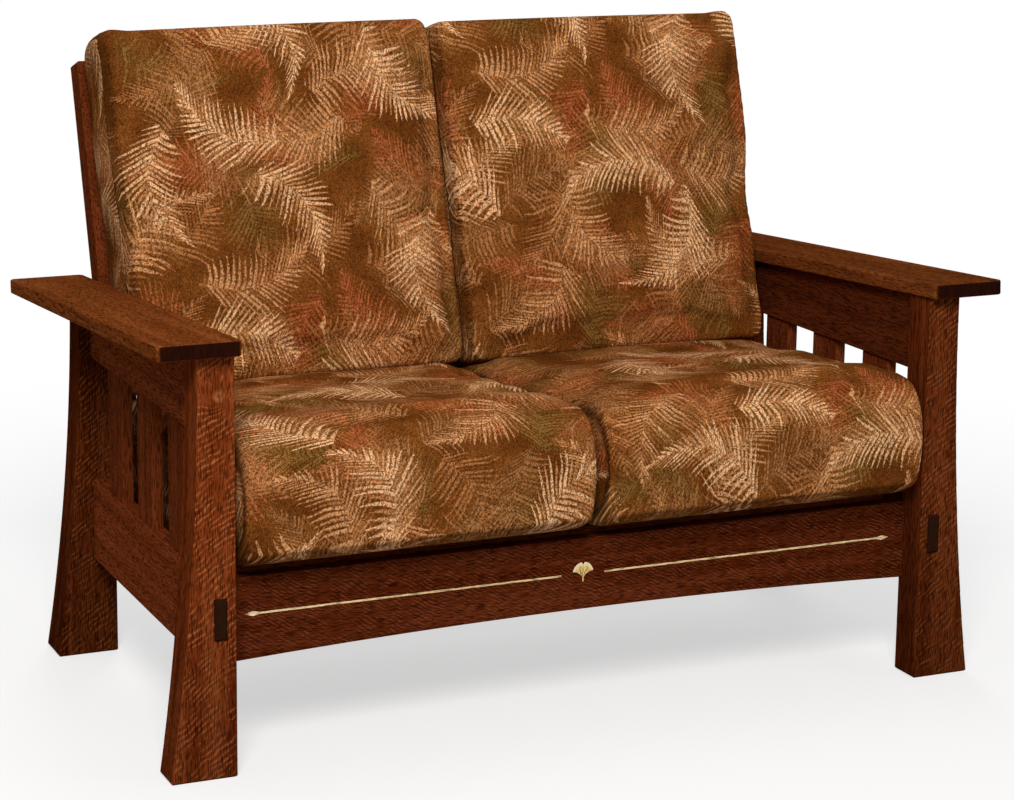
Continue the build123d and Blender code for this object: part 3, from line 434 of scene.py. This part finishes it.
# FRONT RAIL AND INLAY
# The arched rail is quartersawn too, with its fleck in fine slanting ripples. Pale
# stringing with spear points and a fan-shaped leaf are let into its face.
rail_tones = ((0.070, 0.0110, 0.0020), (0.136, 0.0285, 0.0084), (0.240, 0.074, 0.036))
rail_fleck = (0.45, 1150.0, 30.0, "y")
rail_oak = oak("front_rail_oak", "x", rail_tones, *rail_fleck)
finish_nodes(["front_rail"], rail_oak)
inlay_tones = ((0.74, 0.52, 0.24), (0.92, 0.74, 0.46), (0.9, 0.7, 0.4))
finish_nodes(["stringing_left", "stringing_right"], oak("pale_inlay_wood", "x", inlay_tones))
leaf_tones = ((0.74, 0.49, 0.17), (0.88, 0.66, 0.28), (0.9, 0.7, 0.4))
vein_tone, rim_tone = (0.16, 0.065, 0.020, 1), (0.92, 0.74, 0.44, 1)
veins_round = 11.0
vein_full_to, vein_end, vein_share = 0.007, 0.0165, 0.9
rim_start, rim_full = 0.0150, 0.0185
leaf_low, leaf_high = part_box("leaf_inlay")
stem_share = 0.3
leaf_root = leaf_low[2] + stem_share * (leaf_high[2] - leaf_low[2])
leaf_wood = oak("leaf_veneer", "z", leaf_tones)
tree, shader, plain = bare_board(leaf_wood)
place = put(tree, "ShaderNodeTexCoord").outputs["Object"]
across, _, height = put(tree, "ShaderNodeSeparateXYZ", None, {0: place}).outputs
above_root = sums(tree, "SUBTRACT", height, leaf_root)
fan_angle = sums(tree, "ARCTAN2", across, above_root)
root_square = sums(tree, "ADD", sums(tree, "POWER", across, 2.0), sums(tree, "POWER", above_root, 2.0))
from_root = sums(tree, "SQRT", root_square)
vein_wave = sums(tree, "COSINE", sums(tree, "MULTIPLY", fan_angle, veins_round))
vein_line = ease(tree, vein_wave, 0.35, 0.9)
vein_reach = ease(tree, from_root, vein_end, vein_full_to, 0.0, vein_share)
veined = mingle(tree, sums(tree, "MULTIPLY", vein_line, vein_reach), plain, vein_tone)
rimmed = mingle(tree, ease(tree, from_root, rim_start, rim_full), veined, rim_tone)
tree.links.new(rimmed, shader.inputs["Base Color"])
finish_nodes(["leaf_inlay"], leaf_wood)


# SEAT FRAME UNDER THE CUSHIONS
# Plain hardwood that nobody sees: rear rail and cleats in the frame's stain, deck
# slats, brace and corner blocks left bare, with blackened screws and bolts.
bare_tones = ((0.30, 0.17, 0.08), (0.46, 0.29, 0.15), (0.5, 0.34, 0.18))
cross_fleck = (0.3, 500.0, 60.0, "y")
finish_nodes(["rear_rail"], oak("rear_rail_oak", "x", side_tones, *cross_fleck))
finish_nodes(["front_cleat", "rear_cleat"], oak("cleat_oak", "x", side_tones))
slat_wood = oak("deck_slat_wood", "y", bare_tones)
finish_nodes([name for name in nodes if name.startswith("deck_slat")] + ["center_brace"], slat_wood)
block_wood = oak("corner_block_wood", "x", bare_tones)
finish_nodes([name for name in nodes if "corner_block" in name], block_wood)
steel_dark, steel_light = (0.02, 0.02, 0.022, 1), (0.07, 0.068, 0.065, 1)
mottle_scale = 300.0
steel = bpy.data.materials.new("blackened_steel")
steel.use_nodes = True
tree = steel.node_tree
shader = tree.nodes["Principled BSDF"]
shader.inputs["Metallic"].default_value = 1.0
mottle = noise(tree, put(tree, "ShaderNodeTexCoord").outputs["Object"], mottle_scale)
steel_tone = mingle(tree, mottle, steel_dark, steel_light)
tree.links.new(steel_tone, shader.inputs["Base Color"])
tree.links.new(ease(tree, mottle, 0.3, 0.7, 0.35, 0.55), shader.inputs["Roughness"])
finish_nodes(["corner_screws", "arm_bolts", "leg_bolts"], steel)


# BACK FRAME
# Two posts that lean between the arms, two rails, a middle stile and slats, in the
# same stain as the sides; the grain of posts, stile and slats runs up the lean.
post_fleck = (0.3, 740.0, 55.0, "x")
post_oak = oak("back_post_oak", "z", side_tones, *post_fleck)
finish_nodes(["back_post_left", "back_post_right", "bolt_spacers"], post_oak)
back_rail_oak = oak("back_rail_oak", "x", side_tones, *cross_fleck)
finish_nodes(["back_lower_rail", "back_upper_rail"], back_rail_oak)
finish_nodes([name for name in nodes if name.startswith(("back_slat", "back_stile"))], slat_oak)


# CUSHION CLOTH
# A jacquard of palm fronds on a brown ground: olive and rust fronds woven dark behind,
# tan and cream ones over them, each a bent rib with narrow leaflets to both sides.
frond_group, frond_in, frond_out = open_group(
    "frond_layer",
    [
        ("Place", "Vector"),
        ("Spacing", "Float"),
        ("Lattice Turn", "Float"),
        ("Shift", "Vector"),
        ("Leaflet Pitch", "Float"),
        ("Half Width", "Float"),
        ("Half Length", "Float"),
    ],
    [("Mask", "Float"), ("Strand", "Float"), ("Chance", "Float")],
)
lattice_jitter = 0.42
least_bend, more_bend = 3.0, 3.5
width_skew = 0.7
least_width = 0.0005
lean_start = 0.42
lean_gain = 1.0
droop_rate = 2.5
ragged_scale, ragged_depth = 16.0, 0.012
shortest_leaflet, more_leaflet = 0.74, 0.30
wear_scale, wear_depth, wear_start = 90.0, 0.30, -0.08
taper_power, taper_depth = 1.5, 0.38
leaflet_blank, leaflet_full = -0.05, 0.11
rib_edge, rib_full = 0.0026, 0.0012
tip_blank, tip_full = 1.02, 0.96
middle_light, luck_light, tip_light = 0.9, 0.7, -0.25
frond_half = frond_in.outputs["Half Length"]
turned_place = put(
    frond_group,
    "ShaderNodeVectorRotate",
    {"rotation_type": "Z_AXIS"},
    {"Vector": frond_in.outputs["Place"], "Angle": frond_in.outputs["Lattice Turn"]},
).outputs[0]
frond_shift = frond_in.outputs["Shift"]
lattice = put(
    frond_group, "ShaderNodeVectorMath", {"operation": "ADD"}, {0: turned_place, 1: frond_shift}
).outputs[0]
cells_per_metre = sums(frond_group, "DIVIDE", 1.0, frond_in.outputs["Spacing"])
cells = put(
    frond_group,
    "ShaderNodeTexVoronoi",
    {"voronoi_dimensions": "2D", "feature": "F1"},
    {"Vector": lattice, "Scale": cells_per_metre, "Randomness": lattice_jitter},
).outputs
chances = put(frond_group, "ShaderNodeSeparateColor", None, {0: cells["Color"]}).outputs
from_middle = put(
    frond_group, "ShaderNodeVectorMath", {"operation": "SUBTRACT"}, {0: lattice, 1: cells["Position"]}
).outputs[0]
turned = put(
    frond_group,
    "ShaderNodeVectorRotate",
    {"rotation_type": "Z_AXIS"},
    {"Vector": from_middle, "Angle": sums(frond_group, "MULTIPLY", chances[0], 2 * math.pi)},
).outputs[0]
along_rib, beside_rib, _ = put(frond_group, "ShaderNodeSeparateXYZ", None, {0: turned}).outputs
bend_side = sums(frond_group, "SIGN", sums(frond_group, "SUBTRACT", chances[1], 0.5))
bend_size = sums(frond_group, "MULTIPLY_ADD", chances[2], more_bend, least_bend)
bend = sums(frond_group, "MULTIPLY", bend_side, bend_size)
rib_here = sums(frond_group, "MULTIPLY", bend, sums(frond_group, "MULTIPLY", along_rib, along_rib))
off_rib = sums(frond_group, "SUBTRACT", beside_rib, rib_here)
reach = sums(frond_group, "ABSOLUTE", off_rib)
rib_share = sums(frond_group, "DIVIDE", along_rib, frond_half)
travel = sums(frond_group, "MULTIPLY_ADD", rib_share, 0.5, 0.5)
half_turn = sums(frond_group, "MULTIPLY", sums(frond_group, "POWER", travel, width_skew), math.pi)
fullness = sums(frond_group, "MAXIMUM", sums(frond_group, "SINE", half_turn), 0.0)
width_here = sums(frond_group, "MULTIPLY", fullness, frond_in.outputs["Half Width"])
out_share = sums(frond_group, "DIVIDE", reach, sums(frond_group, "MAXIMUM", width_here, least_width))
half_gain = lean_gain / 2
lean_back = sums(frond_group, "MULTIPLY", reach, lean_start + half_gain)
lean_growth = sums(frond_group, "DIVIDE", sums(frond_group, "MULTIPLY", reach, half_gain), frond_half)
straight_run = sums(
    frond_group,
    "DIVIDE",
    sums(frond_group, "SUBTRACT", along_rib, lean_back),
    sums(frond_group, "ADD", 1.0, lean_growth),
)
droop = sums(frond_group, "MULTIPLY", sums(frond_group, "MULTIPLY", reach, reach), droop_rate)
ragged = sums(frond_group, "MULTIPLY", noise(frond_group, lattice, ragged_scale, 1.0), ragged_depth)
leaflet_run = sums(frond_group, "ADD", sums(frond_group, "ADD", straight_run, droop), ragged)
leaflet_count = sums(frond_group, "DIVIDE", leaflet_run, frond_in.outputs["Leaflet Pitch"])
teeth = sums(frond_group, "PINGPONG", leaflet_count, 0.5)
leaflet_number = sums(frond_group, "FLOOR", leaflet_count)
rib_side = sums(frond_group, "SIGN", off_rib)
leaflet_key = put(
    frond_group, "ShaderNodeCombineXYZ", None, {0: leaflet_number, 1: rib_side, 2: chances[0]}
).outputs[0]
leaflet_luck = put(
    frond_group, "ShaderNodeTexWhiteNoise", {"noise_dimensions": "3D"}, {"Vector": leaflet_key}
).outputs["Value"]
length_share = sums(frond_group, "MULTIPLY_ADD", leaflet_luck, more_leaflet, shortest_leaflet)
tip_share = sums(frond_group, "DIVIDE", out_share, length_share)
wear = noise(frond_group, lattice, wear_scale, 1.0)
uneven = sums(frond_group, "MULTIPLY_ADD", wear, wear_depth, wear_start)
taper = sums(frond_group, "MULTIPLY", sums(frond_group, "POWER", tip_share, taper_power), taper_depth)
leaflet_edge = sums(frond_group, "ADD", taper, uneven)
above_edge = sums(frond_group, "SUBTRACT", teeth, leaflet_edge)
leaflet = ease(frond_group, above_edge, leaflet_blank, leaflet_full)
rib_line = ease(frond_group, reach, rib_edge, rib_full)
past_foot = sums(frond_group, "GREATER_THAN", travel, 0.0)
before_tip = sums(frond_group, "LESS_THAN", travel, 1.0)
on_frond = sums(frond_group, "MULTIPLY", past_foot, before_tip)
inside = sums(frond_group, "MULTIPLY", ease(frond_group, tip_share, tip_blank, tip_full), on_frond)
frond_mask = sums(frond_group, "MULTIPLY", sums(frond_group, "MAXIMUM", leaflet, rib_line), inside)
towards_tip = sums(frond_group, "MULTIPLY", out_share, tip_light)
strand_luck = sums(frond_group, "MULTIPLY_ADD", leaflet_luck, luck_light, towards_tip)
strand = sums(frond_group, "ADD", sums(frond_group, "MULTIPLY", teeth, middle_light), strand_luck)
frond_group.links.new(frond_mask, frond_out.inputs["Mask"])
frond_group.links.new(strand, frond_out.inputs["Strand"])
frond_group.links.new(chances[2], frond_out.inputs["Chance"])

cloth_group, cloth_in, cloth_out = open_group(
    "palm_tapestry", [("Place", "Vector")], [("Color", "Color"), ("Height", "Float")]
)
thread_size = (0.0015, 0.0021, 1.0)
thread_dark, thread_light = 0.55, 1.40
worn_to, worn_strength = 0.55, 0.25
left_out, let_in = 0.18, 0.22
cloud_scale = 14.0
ground_dark, ground_light = (0.120, 0.034, 0.0062, 1), (0.200, 0.064, 0.0120, 1)
cloth_place = cloth_in.outputs["Place"]
stitch = put(
    cloth_group, "ShaderNodeVectorMath", {"operation": "SNAP"}, {0: cloth_place, 1: thread_size}
).outputs[0]
threads = put(
    cloth_group, "ShaderNodeTexWhiteNoise", {"noise_dimensions": "3D"}, {"Vector": stitch}
).outputs["Value"]
worn = ease(cloth_group, threads, 0.0, worn_to, worn_strength, 1.0)
clouds = noise(cloth_group, cloth_place, cloud_scale, 2.0)
cloth_tone = mingle(cloth_group, ease(cloth_group, clouds, 0.3, 0.7), ground_dark, ground_light)
frond_layers = (
    (0.190, 0.35, (0.03, 0.11, 0), 0.0070, 0.072, 0.100, (0.120, 0.054, 0.010), (0.220, 0.120, 0.030), 0.80),
    (0.175, 1.15, (0.17, 0.05, 0), 0.0075, 0.066, 0.092, (0.260, 0.052, 0.014), (0.420, 0.115, 0.038), 0.80),
    (0.195, 1.75, (0.11, 0.03, 0), 0.0080, 0.068, 0.100, (0.210, 0.062, 0.014), (0.430, 0.175, 0.058), 0.80),
    (0.165, 2.60, (0.05, 0.23, 0), 0.0064, 0.068, 0.092, (0.190, 0.072, 0.017), (0.380, 0.165, 0.060), 0.75),
    (0.200, 2.10, (0.09, 0.19, 0), 0.0082, 0.066, 0.105, (0.300, 0.105, 0.028), (0.600, 0.290, 0.120), 0.90),
    (0.215, 0.80, (0.21, 0.13, 0), 0.0090, 0.064, 0.112, (0.400, 0.160, 0.050), (0.760, 0.430, 0.210), 0.95),
)
for spacing, turn, shift, pitch, half_width, half_length, low_tone, high_tone, strength in frond_layers:
    layer = put(
        cloth_group,
        "ShaderNodeGroup",
        {"node_tree": frond_group},
        {
            "Place": cloth_place,
            "Spacing": spacing,
            "Lattice Turn": turn,
            "Shift": shift,
            "Leaflet Pitch": pitch,
            "Half Width": half_width,
            "Half Length": half_length,
        },
    ).outputs
    high_share = ease(cloth_group, layer["Strand"], 0.2, 0.8)
    layer_tone = mingle(cloth_group, high_share, (*low_tone, 1), (*high_tone, 1))
    kept = ease(cloth_group, layer["Chance"], left_out, let_in)
    shown = sums(cloth_group, "MULTIPLY", layer["Mask"], kept)
    share = sums(cloth_group, "MULTIPLY", shown, sums(cloth_group, "MULTIPLY", worn, strength))
    cloth_tone = mingle(cloth_group, share, cloth_tone, layer_tone)
thread_shade = ease(cloth_group, threads, 0.0, 1.0, thread_dark, thread_light)
cloth_group.links.new(shaded(cloth_group, cloth_tone, thread_shade), cloth_out.inputs["Color"])
cloth_group.links.new(threads, cloth_out.inputs["Height"])
# The darkening along the seams is painted shade.
seam_width = 0.0022
seam_shade = 0.4
cloth_roughness = 0.85


def tapestry(name, shift):
    """The cloth of one cushion, cut from its own part of the roll."""
    paint = bpy.data.materials.new(name)
    paint.use_nodes = True
    tree = paint.node_tree
    shader = tree.nodes["Principled BSDF"]
    face = put(tree, "ShaderNodeAttribute", {"attribute_name": "face_place"})
    band = put(tree, "ShaderNodeAttribute", {"attribute_name": "band_place"})
    seam = put(tree, "ShaderNodeAttribute", {"attribute_name": "seam_gap"}).outputs["Fac"]
    on_face = sums(tree, "GREATER_THAN", seam, 0.0)
    place = put(
        tree,
        "ShaderNodeMix",
        {"data_type": "VECTOR"},
        {0: on_face, 4: band.outputs["Vector"], 5: face.outputs["Vector"]},
    ).outputs[1]
    cut_place = stretch(tree, place, (1, 1, 1), (0, 0, 0), shift)
    cloth = put(tree, "ShaderNodeGroup", {"node_tree": cloth_group}, {"Place": cut_place}).outputs
    # Painted shade: the cloth darkens along each seam, as in the groove where the panels are sewn.
    fold = ease(tree, sums(tree, "ABSOLUTE", seam), 0.0, seam_width)
    shade = sums(tree, "MULTIPLY_ADD", fold, 1 - seam_shade, seam_shade)
    tree.links.new(shaded(tree, cloth["Color"], shade), shader.inputs["Base Color"])
    shader.inputs["Roughness"].default_value = cloth_roughness
    shader.inputs["Specular IOR Level"].default_value = no_gloss
    weave = {"Height": cloth["Height"], "Strength": 0.35, "Distance": 0.0006}
    woven = put(tree, "ShaderNodeBump", None, weave).outputs[0]
    groove = {"Height": fold, "Strength": 0.7, "Distance": 0.002, "Normal": woven}
    tree.links.new(put(tree, "ShaderNodeBump", None, groove).outputs[0], shader.inputs["Normal"])
    return paint


# CUSHION FORMS
# Foam blocks in sewn cases, a little fuller than the case, so the faces crown and the
# edges round off. The face cloth runs over the backs' top and the seats' front, and
# boxing strips close the sides.
voxel_size = 0.007
smoothing_rounds = 2
shrink = 0.003
case_pressure = 4.0
case_stiffness, case_bending = 20, 0.6
resting_turn, resting_run = 0.3, 0.5
most_swell = 0.010
most_hollow = 0.002
most_drag = 0.004
back_gap, parting_gap, arm_gap, leg_gap = 0.001, 0.0009, 0.0015, 0.0012
above_arm_reach = 0.012
seam_turn = 0.4
seam_scale = 0.02
top_wrap = 0.05
band_shift = 0.4
arm_reach_up = 0.46
seat_seam_inset = 0.009
edge_fill = 0.006
edge_ahead = 0.3
side_seam_out = 0.140
side_wrap = 0.03
side_roll = 0.025
corner_fill = 0.009
corner_run = 0.05
inner_corner_lift = 0.006
top_of_back = 0.75
above_arm_swell = 0.008
above_arm_low, above_arm_high = 0.462, 0.53
sag = 0.009
sag_run = 0.07
parting_swell = 0.010
parting_swell_run = 0.07
under_back_y = -0.06
under_back_run = 0.08
frames_blown = 20
recline = math.radians(17.4)
lean_up = np.array((0.0, math.sin(recline), math.cos(recline)))
lean_out = np.array((0.0, -math.cos(recline), math.sin(recline)))
post_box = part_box("back_post_right")
back_foot = np.array((0.0, post_box[0][1], post_box[0][2]))
leg_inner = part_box("front_leg_right")[0][0]
arm_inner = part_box("arm_right")[0][0]


def points_of(mesh):
    """A mesh's points as an array."""
    flat = np.empty(len(mesh.vertices) * 3)
    mesh.vertices.foreach_get("co", flat)
    return flat.reshape(-1, 3)


def normals_of(mesh):
    """A mesh's point normals as an array."""
    return np.array([vertex.normal for vertex in mesh.vertices])


def set_points(mesh, points):
    """Write an array of points back to a mesh."""
    mesh.vertices.foreach_set("co", points.ravel())
    mesh.update()


def smoothed(mesh, points, rounds):
    """Points averaged with their neighbours, some rounds over."""
    ends = np.empty(len(mesh.edges) * 2, dtype=np.int64)
    mesh.edges.foreach_get("vertices", ends)
    ends = ends.reshape(-1, 2)
    count = np.bincount(ends.ravel(), minlength=len(points))[:, None]
    for _ in range(rounds):
        total = np.zeros_like(points)
        np.add.at(total, ends[:, 0], points[ends[:, 1]])
        np.add.at(total, ends[:, 1], points[ends[:, 0]])
        points = (points + total / count) / 2
    return points


def baked(piece):
    """The piece's mesh as its modifiers leave it."""
    bpy.context.view_layer.update()
    graph = bpy.context.evaluated_depsgraph_get()
    return bpy.data.meshes.new_from_object(piece.evaluated_get(graph))


def blown_case(node_name, resting):
    """A solid's skin, remeshed evenly and blown up a little, but not where it rests."""
    case = bpy.data.objects.new(node_name + "_case", nodes[node_name].data.copy())
    bpy.context.collection.objects.link(case)
    remesh = case.modifiers.new("even_mesh", "REMESH")
    remesh.mode = "VOXEL"
    remesh.voxel_size = voxel_size
    case.data = baked(case)
    case.modifiers.clear()
    start = smoothed(case.data, points_of(case.data), smoothing_rounds)
    set_points(case.data, start)
    normals = normals_of(case.data)
    set_points(case.data, start - normals * shrink)
    cloth = case.modifiers.new("case_cloth", "CLOTH")
    cloth.settings.use_pressure = True
    cloth.settings.uniform_pressure_force = case_pressure
    cloth.settings.effector_weights.gravity = 0
    cloth.settings.quality = 5
    cloth.settings.tension_stiffness = case_stiffness
    cloth.settings.compression_stiffness = case_stiffness
    cloth.settings.bending_stiffness = case_bending
    for frame_number in range(1, frames_blown + 1):
        scene.frame_set(frame_number)
    blown = points_of(baked(case))
    case.modifiers.clear()
    scene.frame_set(1)
    move = blown - start
    swell = (move * normals).sum(axis=1)
    drag = move - normals * swell[:, None]
    drag_length = np.linalg.norm(drag, axis=1, keepdims=True)
    drag *= np.minimum(1, most_drag / np.maximum(drag_length, 1e-9))
    free = 1 - np.clip((normals @ resting - resting_turn) / resting_run, 0, 1)
    swell = np.clip(swell, -most_hollow, most_swell) * free
    full = start + normals * swell[:, None] + drag * free[:, None]
    set_points(case.data, smoothed(case.data, full, smoothing_rounds))
    return case


def filled_edges(mesh, points):
    """Points with the rounded edges pushed out again, as the sewn seams hold them."""
    normals = normals_of(mesh)
    along = np.stack((np.abs(normals[:, 0]), np.abs(normals @ lean_out), np.abs(normals @ lean_up)))
    between = (1 - along.max(axis=0)) / (1 - math.sqrt(0.5))
    ahead = np.clip(normals @ lean_out + edge_ahead, 0, 1)
    return points + normals * (edge_fill * np.clip(between, 0, 1) * ahead)[:, None]


def write_attributes(mesh, face_place, band_place, seam_gap):
    """Where each point lies on the cloth's face panel and boxing strip."""
    for name, kind, key, values in (
        ("face_place", "FLOAT_VECTOR", "vector", face_place),
        ("band_place", "FLOAT_VECTOR", "vector", band_place),
        ("seam_gap", "FLOAT", "value", seam_gap),
    ):
        mesh.attributes.new(name, kind, "POINT").data.foreach_set(key, values.ravel())


def finish_cushion(name, mesh, paint):
    """Put a finished mesh in the place of a cushion's solid."""
    mesh.materials.clear()
    mesh.materials.append(paint)
    mesh.shade_smooth()
    piece = bpy.data.objects.new(name, mesh)
    bpy.context.collection.objects.link(piece)
    node_name = name.replace("_cover", "")
    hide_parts(node_name)
    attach(piece, node_name + "_body")


def mirrored(mesh):
    """The left-hand twin of a right-hand mesh."""
    twin = mesh.copy()
    twin.transform(Matrix.Scale(-1, 4, Vector((1, 0, 0))))
    twin.flip_normals()
    return twin


def subdivided(case):
    case.modifiers.new("finer", "SUBSURF").levels = 1
    return baked(case)


back_case = blown_case("back_cushion_right", -lean_out)
back_points = filled_edges(back_case.data, points_of(back_case.data))
out = (back_points - back_foot) @ lean_out
up = (back_points - back_foot) @ lean_up
low_part = np.clip((up.min() + sag_run - up) / sag_run, 0, 1)
back_points -= np.outer(sag * low_part**2, lean_up)
back_points += np.outer(np.maximum(back_gap - out, 0), lean_out)
back_points[:, 0] = np.maximum(back_points[:, 0], parting_gap)
between_arms = up < arm_reach_up
side_limit = np.where(between_arms, arm_inner - arm_gap, arm_inner + above_arm_reach)
back_points[:, 0] = np.minimum(back_points[:, 0], side_limit)
near_side = np.clip((back_points[:, 0] - back_points[:, 0].max() + corner_run) / corner_run, 0, 1)
near_top = np.clip((up - up.max() + corner_run) / corner_run, 0, 1)
near_corner = (near_side * near_top)[:, None]
back_points += normals_of(back_case.data) * near_corner * corner_fill
set_points(back_case.data, back_points)
back_mesh = subdivided(back_case)
bpy.data.objects.remove(back_case)
for name, mesh, cut in (
    ("back_cushion_right_cover", back_mesh, (0.31, 0.04, 0)),
    ("back_cushion_left_cover", mirrored(back_mesh), (0.83, 0.37, 0)),
):
    spots = points_of(mesh)
    if "left" in name:
        inward = 1 + spots[:, 0] / np.abs(spots[:, 0]).max()
        raised = np.clip((spots - back_foot) @ lean_up / top_of_back, 0, 1)
        spots += np.outer(inner_corner_lift * inward * raised, lean_up)
        set_points(mesh, spots)
    else:
        height_up = (spots - back_foot) @ lean_up
        freed = np.clip((height_up - above_arm_low) / (above_arm_high - above_arm_low), 0, 1)
        outward = np.clip(spots[:, 0] / spots[:, 0].max(), 0, 1) ** 2
        spots[:, 0] += above_arm_swell * freed * outward
        set_points(mesh, spots)
    out = (spots - back_foot) @ lean_out
    up = (spots - back_foot) @ lean_up
    across = spots[:, 0]
    middle = (across.min() + across.max()) / 2
    facing = normals_of(mesh)
    turned_out = facing @ lean_out
    turned_up = facing @ lean_up
    over_top = np.clip((up - up.max() + top_wrap) / top_wrap, 0, 1)
    past_side = np.abs(across - middle) - (across.max() - middle) + side_wrap
    over_side = np.sign(across - middle) * np.clip(past_side / side_wrap, 0, 1)
    face_across = across + over_side * np.maximum(side_seam_out + side_roll - out, 0)
    face_up = up + over_top * np.maximum(side_seam_out - out, 0)
    face_place = np.stack((face_across, face_up, up * 0), axis=1)
    on_side = np.abs(facing[:, 0]) > np.maximum(np.abs(turned_out), np.abs(turned_up))
    band_place = np.where(
        on_side[:, None],
        np.stack((out + np.sign(across - middle) * band_shift, up, out * 0), axis=1),
        np.stack((across, up - out, out * 0), axis=1),
    )
    seam_gap = np.maximum(out - side_seam_out, (turned_up - seam_turn) * seam_scale)
    write_attributes(mesh, face_place, band_place, seam_gap)
    finish_cushion(name, mesh, tapestry(name + "_tapestry", cut))

seat_case = blown_case("seat_cushion_right", np.array((0.0, 0.0, -1.0)))
seat_points = filled_edges(seat_case.data, points_of(seat_case.data))
parting_side = np.exp(-((seat_points[:, 0] / parting_swell_run) ** 2))
under_back = np.clip((seat_points[:, 1] - under_back_y) / under_back_run, 0, 1)
on_top = np.clip(normals_of(seat_case.data)[:, 2], 0, 1)
seat_points[:, 2] += parting_swell * parting_side * under_back * on_top
seat_out = (seat_points - back_foot) @ lean_out
seat_points += np.outer(np.maximum(back_gap - seat_out, 0), lean_out)
seat_points[:, 0] = np.clip(seat_points[:, 0], parting_gap, leg_inner - leg_gap)
set_points(seat_case.data, seat_points)
seat_mesh = subdivided(seat_case)
bpy.data.objects.remove(seat_case)
for name, mesh, cut in (
    ("seat_cushion_right_cover", seat_mesh, (0.12, 0.55, 0)),
    ("seat_cushion_left_cover", mirrored(seat_mesh), (0.64, 0.21, 0)),
):
    spots = points_of(mesh)
    across = spots[:, 0]
    middle = (across.min() + across.max()) / 2
    half_span = (across.max() - across.min()) / 2
    side_gap = half_span - np.abs(across - middle)
    face_place = np.stack((across, spots[:, 1] + spots[:, 2], across * 0), axis=1)
    band_place = np.stack((spots[:, 1], spots[:, 2], across * 0), axis=1)
    write_attributes(mesh, face_place, band_place, side_gap - seat_seam_inset)
    finish_cushion(name, mesh, tapestry(name + "_tapestry", cut))
